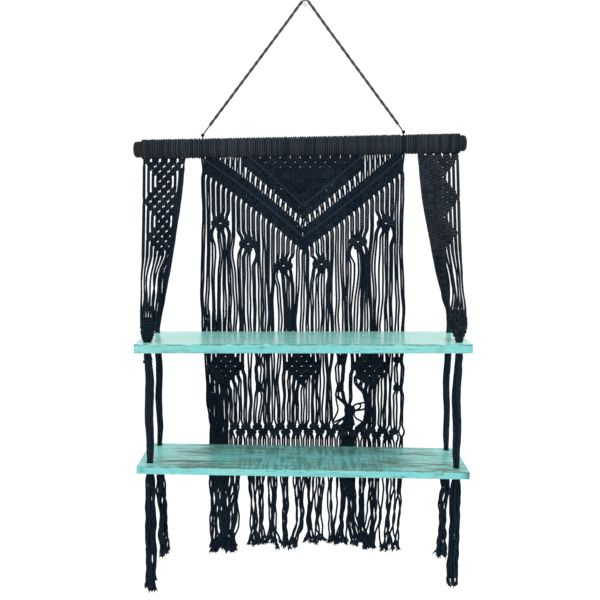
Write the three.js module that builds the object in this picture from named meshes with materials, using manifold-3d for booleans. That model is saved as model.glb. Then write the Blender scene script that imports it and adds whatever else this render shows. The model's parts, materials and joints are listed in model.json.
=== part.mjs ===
// Macrame wall shelf: two painted boards carried by knotted cord on a dowel, which hangs by a rope
// from a nail. Millimetres, +X to the right, +Y into the wall, +Z up.
// The origin is the point of the wall that the nail enters, and the wall's face is y = 0.
import * as THREE from 'three';
import { mergeVertices } from 'three/addons/utils/BufferGeometryUtils.js';
import Module from 'manifold-3d';

const wasm = await Module();
wasm.setup();

// Gap kept between touching pieces
const GAP = 0.3;

// Nail
const NAIL_SHANK_RADIUS = 2;
const NAIL_HEAD_RADIUS = 5.3;
const NAIL_HEAD_THICK = 1.6;
const NAIL_HEAD_BEVEL = { inward: 0.8, deep: 0.5 };
const NAIL_LENGTH = 15;
const NAIL_SIDES = 10;

// Dowel: it rises to the right
const DOWEL_RADIUS = 15;
const DOWEL_LENGTH = 624;
// Round of the dowel's ends: share of the radius, and distance from the end
const DOWEL_END = [{ reach: 0.62, back: 0.6 }, { reach: 0.88, back: 2.4 }, { reach: 1, back: 6 }];
const DOWEL_CENTRE = new THREE.Vector3(-9.6, -19, -260);
const DOWEL_RISE = 0.0194;

// Cord mounts wrapped on the dowel, one sleeve for each panel
const WRAP_GROOVE = 16.5;
const WRAP_CREST = 17.7;
const WRAP_PITCH = 18.4;
const WRAP_SIDES = 10;
const WRAPS = [
  { name: 'heading_left', from: -306, to: -209.5 },
  { name: 'heading_back', from: -209.2, to: 196.5 },
  { name: 'heading_right', from: 196.8, to: 290 },
];

// Boards: the lower one drops to the right
const BOARD_LENGTH = 600;
const BOARD_DEPTH = 150;
const BOARD_BACK = -9;
const BOARD_CENTRE_X = -3.8;
const UPPER_BOARD = { top: -612.4, thick: 16, drop: 0 };
const LOWER_BOARD = { top: -839.6, thick: 14, drop: 0.0175 };
const HOLE_SPREAD = 280;
const HOLE_SIDES = 10;
const FRONT_HOLE = { y: -132, radius: 6.6 };
const BACK_HOLE = { y: -20, radius: 5.9 };

// Hanging rope of two plies, and the thin ties that hold it to the dowel
const ROPE_DIAMETER = 5.6;
const ROPE_FLAT = 0.72;
const ROPE_STEPS = 60;
const ROPE_RIDGE = 30.6;
const ROPE_SIDES = 8;
const TIE_RADIUS = 1.2;
const TIE_SIDES = 5;
const TIE_KNOT_RADIUS = 3.6;
const TIE_LINK_RADIUS = 1.5;
const TIE_LINK_SIDES = 6;
const TIE_RING_RADIUS = WRAP_GROOVE + 1.2 * GAP + TIE_RADIUS;
const TIES = [
  { name: 'rope_tie_left', knot: new THREE.Vector3(-191.7, -20, -239.4), ropeEnd: 0 },
  { name: 'rope_tie_right', knot: new THREE.Vector3(184, -20, -233.5), ropeEnd: -1 },
];
// Middle line of the rope, from the left tie over the nail to the right tie
const ROPE_ROUTE = [
  [-178.8, -20.0, -222.0], [-161.8, -18.9, -199.8], [-144.7, -17.7, -177.5],
  [-127.7, -16.6, -155.2], [-110.7, -15.4, -132.9], [-93.7, -14.3, -110.7],
  [-76.7, -13.1, -88.4], [-59.7, -12.0, -66.1], [-42.7, -10.8, -43.8],
  [-25.7, -9.7, -21.2], [-8.7, -8.5, 1.6], [-4.6, -8.2, 4.9], [0.0, -8.0, 6.1],
  [4.6, -8.2, 4.9], [8.6, -8.5, 1.6], [25.3, -9.7, -21.2], [42.0, -10.8, -43.8],
  [58.8, -12.0, -66.1], [75.5, -13.1, -88.4], [92.2, -14.3, -110.7],
  [109.0, -15.4, -132.9], [125.7, -16.6, -155.2], [142.4, -17.7, -177.5],
  [159.2, -18.9, -199.8], [174.0, -20.0, -219.5],
].map(([x, y, z]) => new THREE.Vector3(x, y, z));

// Back panel: pairs of cords side by side, and the knotted places that join them
const CORD_THICK = 3.2;
const PAIR_WIDTH = 5.8;
const BACK_PAIRS = 36;
const BACK_PITCH = 10.75;
const BACK_MIDDLE = -4.5;
const BACK_REST_Y = -4.8;
const BACK_REST_Z = -580;
const BACK_ROWS = [-455, -540, -640, -725];
// Slow waver of the hanging pairs, and the push that opens a gap over the loose knot
const BACK_WAVER = { from: -455, fade: 80, size: 1.6, length: 41, shift: 2.3 };
const LOOSE_GAP = { z: -735, reach: 70, side: 12, push: 4 };
// The left pairs hang closed together low down
const DENSE = { pairs: 6, below: -690, fill: 0.93 };
// The two chevrons: height of the point, reach to each side, the band's reach above and below its
// ridge, and the slope and bend of each arm
const CHEVRON_MIDDLE = -4;
const UPPER_CHEVRON = {
  point: -371, half: 112, above: 4, below: 17,
  left: { slope: 0.99, bend: -0.00075 }, right: { slope: 0.81, bend: 0.0003 },
};
const LOWER_CHEVRON = {
  point: -431, half: 184, above: 9, below: 16,
  left: { slope: 0.93, bend: -0.00075 }, right: { slope: 0.75, bend: 0.0003 },
};
const CHEVRON_STATION = 13;
const RIDGE = { rise: 0.9, foot: 4, knotShare: 0.6 };
const KNOT_WIDTH = 18.4;
const KNOT_HEIGHT = 16.4;
const CENTRE_NET = { columns: 24, rows: 13, corners: 8 };
const PAD_THIN = 1.9;
const PAD_THICK = 3.1;
const SMALL_DIAMONDS = [
  { x: -161, z: -404 }, { x: -108.5, z: -443 }, { x: -41, z: -485 },
  { x: 31.5, z: -482 }, { x: 101, z: -439 }, { x: 153.5, z: -404 },
];
const SMALL_DIAMOND = { halfWidth: 16, halfHeight: 14.4, cells: 4 };
const LARGE_DIAMONDS = [{ x: -154.5 }, { x: -7 }, { x: 126 }];
const LARGE_DIAMOND = { z: -681.5, halfWidth: 38, halfHeight: 34, cells: 8, thick: 2.1 };
const SINGLE_KNOTS = [
  { x: -89.5, z: -671 }, { x: -89.5, z: -723 }, { x: 69, z: -669 },
  { x: 69, z: -723 }, { x: 179, z: -669 }, { x: 179, z: -725 },
];
const SINGLE_KNOT = { half: 7, thick: 2.2 };
const TANGLE = { x: 88.5, z: -771, half: 10.5, thick: 3.4 };
const LUMP_SHOULDER = 0.55;
const ROW_KNOTS = { z: -806, reach: 6.4, waist: 2.6, thin: 1.9, thick: 2.3, dipFrom: 50, dip: 0.085 };
// Plates that trim the cloth: notch at a tie, reach to each side, foot and thickness
const TIE_NOTCH = { wide: 3, narrow: 2 };
const BACK_TRIM = { half: 230, foot: -900, thick: 30 };
const CUTTER_THICK = 14;

// Fringe under the back panel: clumps of strands, each with its own width, count and end
const FRINGE_TOP = -813;
const FRINGE_STRIP = 6;
const FRINGE_STRAND = 3.6;
const FRINGE_STATIONS = 16;
const FRINGE_KNOT = { thick: 2.1, thin: 1.4 };
const FRINGE_STEPS = 3;
const FRINGE_WAVER = { share: 0.28, step: 1.9, strand: 1.1 };
const FRINGE_UNEVEN = { size: 7, strand: 2.7 };
// Strands have three sides: the turn that puts one of them to the front
const STRAND_SIDES = 3;
const STRAND_TURN = 0.75;
const FRINGE_CLUMPS = [
  { from: -188, to: -128, strands: 11, end: -1051 },
  { from: -112, to: -82, strands: 5, end: -1040 },
  { from: -76, to: -49, strands: 4, end: -1047 },
  { from: -43, to: -12, strands: 5, end: -1045 },
  { from: 3, to: 50, strands: 8, end: -1041 },
  { from: 58, to: 84, strands: 5, end: -1043 },
  { from: 91, to: 112, strands: 4, end: -1041 },
  { from: 117, to: 188, strands: 12, end: -1053 },
];

// Side panels: the line of each edge on the way down, given for the left panel and the right one.
// The outer edge runs forward to the front hole, the inner one down to the back hole.
const SIDE_PAIRS = 9;
const SIDE_TOP_WIDTH = 80;
const SIDE_KNOT_WIDTH = 16;
const SIDE_KNOT_HEIGHT = 18.6;
const SIDE_PAD_THIN = 2.1;
const SIDE_PAD_THICK = 3.3;
const SIDE_NET = { columns: 10, rows: 19, rise: 4, inset: 2 };
const SIDE_DOT = { halfWidth: 2.3, halfHeight: 3.4, clear: 6 };
const SIDE_FRONT_PAIRS = 5;
// Under the knotted shapes the pairs gather: heights, width of a pair at the end, swing where they
// cross, and the shares that the outer and the inner pairs run to
const SIDE_GATHER = {
  from: -445, to: -566, width: 3.2, crossing: 2.2,
  outer: 0.03, outerStep: 0.05, inner: 0.93, innerStep: 0.035,
};
const SIDE_TRIM = { half: 80, foot: -700, thick: 400 };
const LEFT_EDGES = [
  { z: -280, outerX: -302, outerY: -21, innerX: -223.5, innerY: -20 },
  { z: -360, outerX: -301, outerY: -47, innerX: -234.5, innerY: -20 },
  { z: -435, outerX: -300, outerY: -73, innerX: -247.5, innerY: -20 },
  { z: -508, outerX: -299, outerY: -98, innerX: -261.5, innerY: -20 },
  { z: -575, outerX: -296, outerY: -120, innerX: -272.5, innerY: -20 },
  { z: -612, outerX: -291, outerY: -132, innerX: -277.5, innerY: -20 },
];
const RIGHT_EDGES = [
  { z: -270, outerX: 285.5, outerY: -21, innerX: 210, innerY: -20 },
  { z: -360, outerX: 285.8, outerY: -51, innerX: 222, innerY: -20 },
  { z: -435, outerX: 286, outerY: -74, innerX: 237.5, innerY: -20 },
  { z: -508, outerX: 288, outerY: -98, innerX: 254, innerY: -20 },
  { z: -575, outerX: 289.5, outerY: -120, innerX: 268, innerY: -20 },
  { z: -612, outerX: 284, outerY: -132, innerX: 273, innerY: -20 },
];
// Knotted shapes of a side panel: s runs from the outer edge, 0, to the inner edge, 1
const SIDE_SHAPES = [
  { s: 0.03, z: -283 }, { s: 0.97, z: -283 }, { s: 0.54, z: -320 }, { s: 1, z: -361 },
  { s: 0.56, z: -397 }, { s: 1, z: -426 }, { s: 0.54, z: -451 }, { s: 0.17, z: -424 },
  { s: 0.49, z: -397 }, { s: 0.03, z: -360 }, { s: 0.45, z: -320 },
];
const SIDE_ROWS = [-340, -398, -455, -500, -540, -566];
// Round front end of a side panel, closed to a point over the front hole
const CONE_FLUTE = 0.1;
const CONE = [
  { z: -556, inX: 0, y: -110, radius: 9 }, { z: -565, inX: 0, y: -115, radius: 13.5 },
  { z: -578, inX: 0, y: -121, radius: 13.2 }, { z: -590, inX: 0, y: -126, radius: 12 },
  { z: -602, inX: 0, y: -130, radius: 8.8 }, { z: -611, inX: 0, y: -132, radius: 6 },
  { z: -619.5, inX: 0, y: -132, radius: 6 },
];
const BACK_ROLL_FLUTE = 0.08;
const BACK_ROLL = [
  { z: -530, inX: 17, y: -27, radius: 7 }, { z: -560, inX: 12, y: -25, radius: 6.4 },
  { z: -590, inX: 5, y: -22, radius: 5.6 }, { z: -609, inX: 0, y: -20, radius: 5.3 },
  { z: -619.5, inX: 0, y: -20, radius: 5.3 },
];

// Bundles of cord between the boards: share of the way down, radius and sideways sway
const BUNDLE_SIDES = 8;
const BUNDLE_FLUTE = { from: 0.1, deep: 0.12 };
const BUNDLE_SWAY_IN = 0.6;
// Bundles and tassels meet inside a board, this far under its top
const MEETING_DEPTH = 7.1;
const FRONT_BUNDLE = [
  { way: 0, radius: 6, sway: 0 }, { way: 0.045, radius: 6, sway: 0 },
  { way: 0.085, radius: 8.6, sway: 0 }, { way: 0.12, radius: 6.6, sway: 1 },
  { way: 0.25, radius: 7.6, sway: 2.5 }, { way: 0.55, radius: 7.9, sway: 3 },
  { way: 0.8, radius: 7, sway: 1.5 }, { way: 0.96, radius: 5.6, sway: 0 },
  { way: 1, radius: 5.6, sway: 0 },
];
const BACK_BUNDLE = [
  { way: 0, radius: 5.3, sway: 0 }, { way: 0.045, radius: 5.3, sway: 0 },
  { way: 0.09, radius: 6.6, sway: 0 }, { way: 0.2, radius: 5.6, sway: 1.5 },
  { way: 0.5, radius: 5.5, sway: 3 }, { way: 0.8, radius: 5.2, sway: 2 },
  { way: 0.96, radius: 4.9, sway: 0 }, { way: 1, radius: 4.9, sway: 0 },
];

// Tassels under the lower board: a gathered head and loose strands
const TASSEL_STRANDS = 8;
const TASSEL_STRAND = 4;
const TASSEL_STEPS = 4;
const TASSEL_NECK = { radius: 5.6, clear: 1 };
// The head under the board: distance down and how much wider than the neck it is
const TASSEL_HEAD = [{ down: 1, wider: 0 }, { down: 5, wider: 2.6 }, { down: 12, wider: 2.6 }];
const TASSEL_SKIRT = { down: 19, share: 0.8, flute: 0.1 };
const TASSEL_FALL = { from: 15, reach: 0.62, twist: 0.5, bend: 1.1, bends: 5, uneven: 5, turn: 0.4 };
const TASSELS = [
  { name: 'tassel_front_left', side: -1, hole: FRONT_HOLE, end: -1073, spread: 9.5, lean: -2 },
  { name: 'tassel_back_left', side: -1, hole: BACK_HOLE, end: -1061, spread: 7.5, lean: 5 },
  { name: 'tassel_front_right', side: 1, hole: FRONT_HOLE, end: -1066, spread: 10, lean: -3 },
  { name: 'tassel_back_right', side: 1, hole: BACK_HOLE, end: -1059, spread: 7.5, lean: -6 },
];

// Finishes
const CORD = new THREE.MeshStandardMaterial({ color: 0x161b22, roughness: 0.85, metalness: 0 });
const ROPE = new THREE.MeshStandardMaterial({ color: 0x34353a, roughness: 0.8, metalness: 0 });
const BLACK_WOOD = new THREE.MeshStandardMaterial({ color: 0x1d1c1f, roughness: 0.6, metalness: 0 });
const PAINT = new THREE.MeshStandardMaterial({ color: 0x7bd3c9, roughness: 0.45, metalness: 0 });
const STEEL = new THREE.MeshStandardMaterial({ color: 0xc9cacd, roughness: 0.35, metalness: 0.8 });

// A closed geometry from corner points and triangles, turned so that its faces point out
function closedGeometry(points, triangles) {
  let volume = 0;
  const cross = new THREE.Vector3();
  for (const [a, b, c] of triangles) {
    volume += points[a].dot(cross.crossVectors(points[b], points[c]));
  }
  const outward = volume > 0 ? triangles : triangles.map(([a, b, c]) => [a, c, b]);
  const geometry = new THREE.BufferGeometry().setFromPoints(points);
  geometry.setIndex(outward.flat());
  return geometry;
}

// A body through rings of points, with a flat end on the first ring and the last
function loft(rings) {
  const sides = rings[0].length;
  const last = (rings.length - 1) * sides;
  const triangles = [];
  for (let start = 0; start < last; start += sides) {
    for (let k = 0; k < sides; k++) {
      const next = (k + 1) % sides;
      triangles.push([start + k, start + next, start + sides + k]);
      triangles.push([start + next, start + sides + next, start + sides + k]);
    }
  }
  for (let k = 1; k < sides - 1; k++) {
    triangles.push([0, k + 1, k], [last, last + k, last + k + 1]);
  }
  return closedGeometry(rings.flat(), triangles);
}

// A level ring, whose points can lie on alternate radii so that the side is fluted
function levelRing(x, y, z, radius, sides, flute = 0, turn = 0) {
  return Array.from({ length: sides }, (_, k) => {
    const angle = ((k + turn) / sides) * 2 * Math.PI;
    const reach = radius * (k % 2 ? 1 - flute : 1);
    return new THREE.Vector3(x + reach * Math.cos(angle), y + reach * Math.sin(angle), z);
  });
}

// The four corners of a cord pair's section, with its wide side along the given direction
function pairRing(centre, along, width, thick) {
  const across = along.clone().multiplyScalar(width / 2);
  const deep = new THREE.Vector3(-along.y, along.x, 0).multiplyScalar(thick / 2);
  return [[-1, -1], [1, -1], [1, 1], [-1, 1]].map(([a, d]) => (
    centre.clone().addScaledVector(across, a).addScaledVector(deep, d)));
}

function toSolid(geometry) {
  const bare = geometry.clone();
  bare.deleteAttribute('normal');
  bare.deleteAttribute('uv');
  const merged = mergeVertices(bare, 1e-4);
  return new wasm.Manifold(new wasm.Mesh({
    numProp: 3,
    vertProperties: new Float32Array(merged.attributes.position.array),
    triVerts: new Uint32Array(merged.index.array),
  }));
}

function toGeometry(solid) {
  const mesh = solid.getMesh();
  const geometry = new THREE.BufferGeometry();
  geometry.setAttribute('position', new THREE.BufferAttribute(mesh.vertProperties, 3));
  geometry.setIndex(new THREE.BufferAttribute(mesh.triVerts, 1));
  return geometry;
}

function joined(geometries) {
  return geometries.map(toSolid).reduce((whole, piece) => whole.add(piece));
}

// Moves every point of a geometry by a function of its place
function bent(geometry, place) {
  const position = geometry.attributes.position;
  const point = new THREE.Vector3();
  for (let i = 0; i < position.count; i++) {
    point.fromBufferAttribute(position, i);
    position.setXYZ(i, ...place(point).toArray());
  }
  return geometry;
}

// An upright plate of an outline in x and z, centred on y = 0
function plate(outline, thick) {
  const shape = new THREE.Shape(outline.map(([x, z]) => new THREE.Vector2(x, z)));
  const geometry = new THREE.ExtrudeGeometry(shape, { depth: thick, bevelEnabled: false });
  return geometry.rotateX(Math.PI / 2).translate(0, thick / 2, 0);
}

// An upright plate of alternating knots, whose front stands proud at each knot and sinks between.
// Its back does the same, or is flat.
function knotPlate({ middle, top, columns, rows, width, height, thin, thick, flatBack = false }) {
  const across = columns + 1;
  const points = [];
  const triangles = [];
  for (const face of [-1, 1]) {
    for (let r = 0; r <= rows; r++) {
      for (let c = 0; c <= columns; c++) {
        const depth = (r + c) % 2 || (flatBack && face > 0) ? thin : thick;
        const x = middle + (c - columns / 2) * (width / 2);
        points.push(new THREE.Vector3(x, face * depth, top - r * (height / 2)));
      }
    }
  }
  const back = across * (rows + 1);
  const quad = (a, b, c, d) => triangles.push([a, b, c], [a, c, d]);
  for (let r = 0; r < rows; r++) {
    for (let c = 0; c < columns; c++) {
      const corner = r * across + c;
      quad(corner, corner + across, corner + across + 1, corner + 1);
      if (!flatBack) {
        quad(back + corner, back + corner + 1, back + corner + across + 1, back + corner + across);
      }
    }
    const right = r * across + columns;
    quad(r * across, back + r * across, back + (r + 1) * across, (r + 1) * across);
    quad(right, right + across, back + right + across, back + right);
  }
  for (let c = 0; c < columns; c++) {
    const low = rows * across + c;
    quad(c, c + 1, back + c + 1, back + c);
    quad(low, back + low, back + low + 1, low + 1);
  }
  if (flatBack) {
    const rim = [
      ...Array.from({ length: columns }, (_, c) => c),
      ...Array.from({ length: rows }, (_, r) => r * across + columns),
      ...Array.from({ length: columns }, (_, c) => rows * across + columns - c),
      ...Array.from({ length: rows }, (_, r) => (rows - r) * across),
    ].map((corner) => back + corner);
    const hub = back + Math.floor(rows / 2) * across + Math.floor(columns / 2);
    rim.forEach((corner, i) => triangles.push([hub, corner, rim[(i + 1) % rim.length]]));
  }
  return closedGeometry(points, triangles);
}

// A single knot: a six-sided lump, widest across the middle
function knotLump(x, z, { half, thick }) {
  const rings = [[-1, 0.5], [0, 1], [1, 0.5]].map(([level, size]) => (
    [[-1, 0], [-LUMP_SHOULDER, -1], [LUMP_SHOULDER, -1], [1, 0], [LUMP_SHOULDER, 1], [-LUMP_SHOULDER, 1]]
      .map(([across, deep]) => new THREE.Vector3(
        x + across * half * size, deep * thick, z + level * half))));
  return loft(rings);
}

// Height of the dowel's axis over a place across
function dowelAxis(x) {
  return DOWEL_CENTRE.z + (x - DOWEL_CENTRE.x) * DOWEL_RISE;
}

// Height at which the cloth leaves the wrapped dowel
function clothTop(x) {
  return dowelAxis(x) - WRAP_CREST - GAP;
}

// Depth of the back panel's middle on the way down, as it falls back from the dowel to the wall
function backDepth(z) {
  const top = clothTop(0);
  const share = THREE.MathUtils.clamp((z - BACK_REST_Z) / (top - BACK_REST_Z), 0, 1);
  return THREE.MathUtils.lerp(BACK_REST_Y, DOWEL_CENTRE.y, share);
}

function onBackPanel(geometry) {
  return bent(geometry, (p) => p.set(p.x, p.y + backDepth(p.z), p.z));
}

// Height of a chevron's ridge over a place across
function chevronRidge(chevron, x) {
  const away = Math.abs(x - CHEVRON_MIDDLE);
  const { slope, bend } = x > CHEVRON_MIDDLE ? chevron.right : chevron.left;
  return chevron.point + slope * away + bend * away * away;
}

// One band with a raised ridge, and with a bump for each knot under the ridge
function chevronBand(chevron) {
  const stations = Math.round((2 * chevron.half) / CHEVRON_STATION);
  const rings = [];
  for (let i = 0; i <= stations; i++) {
    const x = CHEVRON_MIDDLE + (i / stations - 0.5) * 2 * chevron.half;
    const ridge = chevronRidge(chevron, x);
    const knot = i % 2 ? PAD_THICK : PAD_THIN;
    const section = [
      [PAD_THIN, chevron.above], [-PAD_THIN, chevron.above], [-PAD_THICK - RIDGE.rise, 0],
      [-PAD_THIN, -RIDGE.foot], [-knot, -RIDGE.knotShare * chevron.below],
      [-PAD_THIN, -chevron.below],
      [PAD_THIN, -chevron.below],
    ];
    rings.push(section.map(([y, rise]) => new THREE.Vector3(x, y, ridge + rise)));
  }
  return loft(rings);
}

// The dense net between the dowel and the upper chevron
function centreNet() {
  const reach = UPPER_CHEVRON.half + 1;
  const outline = [[CHEVRON_MIDDLE - reach, clothTop(-reach) + 1]];
  const { columns, rows, corners } = CENTRE_NET;
  for (let i = 0; i <= corners; i++) {
    const x = CHEVRON_MIDDLE + ((2 * i) / corners - 1) * reach;
    outline.push([x, Math.min(chevronRidge(UPPER_CHEVRON, x) - 1, clothTop(x))]);
  }
  outline.push([CHEVRON_MIDDLE + reach, clothTop(reach) + 1]);
  const net = knotPlate({
    middle: CHEVRON_MIDDLE, top: clothTop(0) + KNOT_HEIGHT / 2, columns, rows,
    width: KNOT_WIDTH, height: KNOT_HEIGHT, thin: PAD_THIN, thick: PAD_THICK, flatBack: true,
  });
  return toSolid(net).intersect(toSolid(plate(outline, CUTTER_THICK)));
}

// A diamond of alternating knots
function diamondNet(x, z, { halfWidth, halfHeight, cells, thick = PAD_THICK }) {
  const net = knotPlate({
    middle: x, top: z + halfHeight, columns: cells, rows: cells,
    width: (4 * halfWidth) / cells, height: (4 * halfHeight) / cells, thin: PAD_THIN, thick,
    flatBack: true,
  });
  const outline = [[x - halfWidth, z], [x, z - halfHeight], [x + halfWidth, z], [x, z + halfHeight]];
  return toSolid(net).intersect(toSolid(plate(outline, CUTTER_THICK)));
}

// Where a cord pair of the back panel runs at a height: nearly straight, with a slow waver, apart
// by the tapering gap over the loose knot
function backPairX(i, z) {
  const even = BACK_MIDDLE + (i - (BACK_PAIRS - 1) / 2) * BACK_PITCH;
  const loose = THREE.MathUtils.clamp((BACK_WAVER.from - z) / BACK_WAVER.fade, 0, 1);
  const waver = loose * BACK_WAVER.size * Math.sin(z / BACK_WAVER.length + i * BACK_WAVER.shift);
  const open = THREE.MathUtils.clamp(1 - Math.abs(z - LOOSE_GAP.z) / LOOSE_GAP.reach, 0, 1);
  const away = even - TANGLE.x;
  const pushed = Math.abs(away) < LOOSE_GAP.side ? Math.sign(away) * open * LOOSE_GAP.push : 0;
  return even + waver + pushed;
}

function backPair(i) {
  const along = new THREE.Vector3(1, 0, 0);
  const start = backPairX(i, 0);
  const top = Math.min(chevronRidge(UPPER_CHEVRON, start) - 6, clothTop(start) + 4);
  const heights = [top, ...BACK_ROWS, ROW_KNOTS.z - rowDip(start)];
  const rings = heights.map((z) => {
    const dense = i < DENSE.pairs && z < DENSE.below;
    const width = dense ? BACK_PITCH * DENSE.fill : PAIR_WIDTH;
    return pairRing(new THREE.Vector3(backPairX(i, z), 0, z), along, width, CORD_THICK);
  });
  return loft(rings);
}

function rowDip(x) {
  return Math.max(0, x - ROW_KNOTS.dipFrom) * ROW_KNOTS.dip;
}

// The row of knots across the foot of the panel: one bar, tall and thick at each knot
function knotRow() {
  const from = backPairX(0, 0) - PAIR_WIDTH / 2;
  const stations = BACK_PAIRS - 1;
  return loft(Array.from({ length: stations + 1 }, (_, i) => {
    const x = from + (i / stations) * (BACK_PITCH * stations + PAIR_WIDTH);
    const reach = i % 2 ? ROW_KNOTS.reach : ROW_KNOTS.waist;
    const thick = i % 2 ? ROW_KNOTS.thick : ROW_KNOTS.thin;
    const middle = ROW_KNOTS.z - rowDip(x);
    return [[thick, reach], [-thick, reach], [-thick, -reach], [thick, -reach]]
      .map(([y, rise]) => new THREE.Vector3(x, y, middle + rise));
  }));
}

// Outline that cuts the panel off under the wraps, with a notch under each tie
function backTrim() {
  const notch = TIE_RING_RADIUS + TIE_RADIUS + GAP;
  const notches = TIES.flatMap(({ knot: { x } }) => (
    [[-TIE_NOTCH.wide, 0], [-TIE_NOTCH.narrow, 1], [TIE_NOTCH.narrow, 1], [TIE_NOTCH.wide, 0]]
      .map(([across, deep]) => [x + across, deep ? dowelAxis(x) - notch : clothTop(x + across)])));
  const { half, foot } = BACK_TRIM;
  return [[half, clothTop(half)], [half, foot], [-half, foot], [-half, clothTop(-half)], ...notches];
}

function backPanel() {
  let whole = joined([chevronBand(UPPER_CHEVRON), chevronBand(LOWER_CHEVRON)]);
  whole = whole.add(centreNet());
  for (let i = 0; i < BACK_PAIRS; i++) {
    whole = whole.add(toSolid(backPair(i)));
  }
  for (const { x, z } of SMALL_DIAMONDS) {
    whole = whole.add(diamondNet(x, z, SMALL_DIAMOND));
  }
  for (const { x } of LARGE_DIAMONDS) {
    whole = whole.add(diamondNet(x, LARGE_DIAMOND.z, LARGE_DIAMOND));
  }
  for (const { x, z } of SINGLE_KNOTS) {
    whole = whole.add(toSolid(knotLump(x, z, SINGLE_KNOT)));
  }
  whole = whole.add(toSolid(knotLump(TANGLE.x, TANGLE.z, TANGLE)));
  whole = whole.add(toSolid(knotRow()));
  whole = whole.intersect(toSolid(plate(backTrim(), BACK_TRIM.thick)));
  return onBackPanel(toGeometry(whole));
}

// Fringe: strands of three sides that hang from a narrow knotted strip
function backFringe() {
  const from = FRINGE_CLUMPS[0].from - 3;
  const to = FRINGE_CLUMPS.at(-1).to + 3;
  const rings = [];
  for (let i = 0; i <= FRINGE_STATIONS; i++) {
    const x = THREE.MathUtils.lerp(from, to, i / FRINGE_STATIONS);
    const top = FRINGE_TOP - rowDip(x);
    const thick = i % 2 ? FRINGE_KNOT.thick : FRINGE_KNOT.thin;
    rings.push([[thick, 0], [-thick, 0], [-thick, -FRINGE_STRIP], [thick, -FRINGE_STRIP]]
      .map(([y, drop]) => new THREE.Vector3(x, y, top + drop)));
  }
  const strands = FRINGE_CLUMPS.flatMap(({ from: left, to: right, strands: count, end }, clump) => (
    Array.from({ length: count }, (_, k) => {
      const x = THREE.MathUtils.lerp(left, right, k / (count - 1));
      const slack = (right - left) / (count - 1) - FRINGE_STRAND;
      const top = FRINGE_TOP - rowDip(x) - FRINGE_STRIP / 2;
      const finish = end + FRINGE_UNEVEN.size * Math.sin(k * FRINGE_UNEVEN.strand + clump);
      return loft(Array.from({ length: FRINGE_STEPS + 1 }, (_, step) => {
        const z = THREE.MathUtils.lerp(top, finish, step / FRINGE_STEPS);
        const swing = Math.sin(step * FRINGE_WAVER.step + k * FRINGE_WAVER.strand + clump);
        const waver = step ? FRINGE_WAVER.share * slack * swing : 0;
        return levelRing(x + waver, 0, z, FRINGE_STRAND / 2, STRAND_SIDES, 0, STRAND_TURN);
      }));
    })));
  return onBackPanel(toGeometry(joined([loft(rings), ...strands])));
}

// A place on a side panel: s across from the outer edge, n out of the cloth, at a height
function onSidePanel(edges, s, n, z) {
  const upper = edges.findLast((row) => row.z >= z) ?? edges[0];
  const at = Math.min(edges.indexOf(upper), edges.length - 2);
  const [a, b] = [edges[at], edges[at + 1]];
  const share = (a.z - z) / (a.z - b.z);
  const mix = (key) => THREE.MathUtils.lerp(a[key], b[key], share);
  const outer = new THREE.Vector3(mix('outerX'), mix('outerY'), z);
  const across = new THREE.Vector3(mix('innerX'), mix('innerY'), z).sub(outer);
  const along = across.clone().normalize();
  const place = outer.addScaledVector(across, s);
  return place.add(new THREE.Vector3(-along.y * n, along.x * n, 0));
}

// One cord pair of a side panel laid flat: the outer pairs run into the front end, the rest to the
// back. Laid flat, the cloth is as wide all the way down as it is at the dowel.
function sidePair(top, i) {
  const along = new THREE.Vector3(1, 0, 0);
  const start = (i + 0.5) / SIDE_PAIRS;
  const front = i < SIDE_FRONT_PAIRS;
  const { outer, outerStep, inner, innerStep } = SIDE_GATHER;
  const gathered = front ? outer + outerStep * i : inner - innerStep * (SIDE_PAIRS - 1 - i);
  return loft([top, ...SIDE_ROWS].map((z) => {
    const gather = THREE.MathUtils.smoothstep(-z, -SIDE_GATHER.from, -SIDE_GATHER.to);
    const s = THREE.MathUtils.lerp(start, gathered, gather);
    const crossing = SIDE_GATHER.crossing * Math.sin(Math.PI * gather) * (i % 2 ? 1 : -1);
    const width = THREE.MathUtils.lerp(PAIR_WIDTH, SIDE_GATHER.width, gather);
    return pairRing(new THREE.Vector3(s * SIDE_TOP_WIDTH, crossing, z), along, width, CORD_THICK);
  }));
}

// The knotted outline, drawn in from the cloth's edges but not at the middle
function sideOutline(inset) {
  return SIDE_SHAPES.map(({ s, z }) => {
    const inward = Math.sign(Math.round(2 * (0.5 - s)));
    return [s * SIDE_TOP_WIDTH + inward * inset, z];
  });
}

function insideOutline(x, z, outline) {
  let inside = false;
  outline.forEach((a, i) => {
    const b = outline.at(i - 1);
    if ((a[1] > z) !== (b[1] > z) && x < ((b[0] - a[0]) * (z - a[1])) / (b[1] - a[1]) + a[0]) {
      inside = !inside;
    }
  });
  return inside;
}

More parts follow.
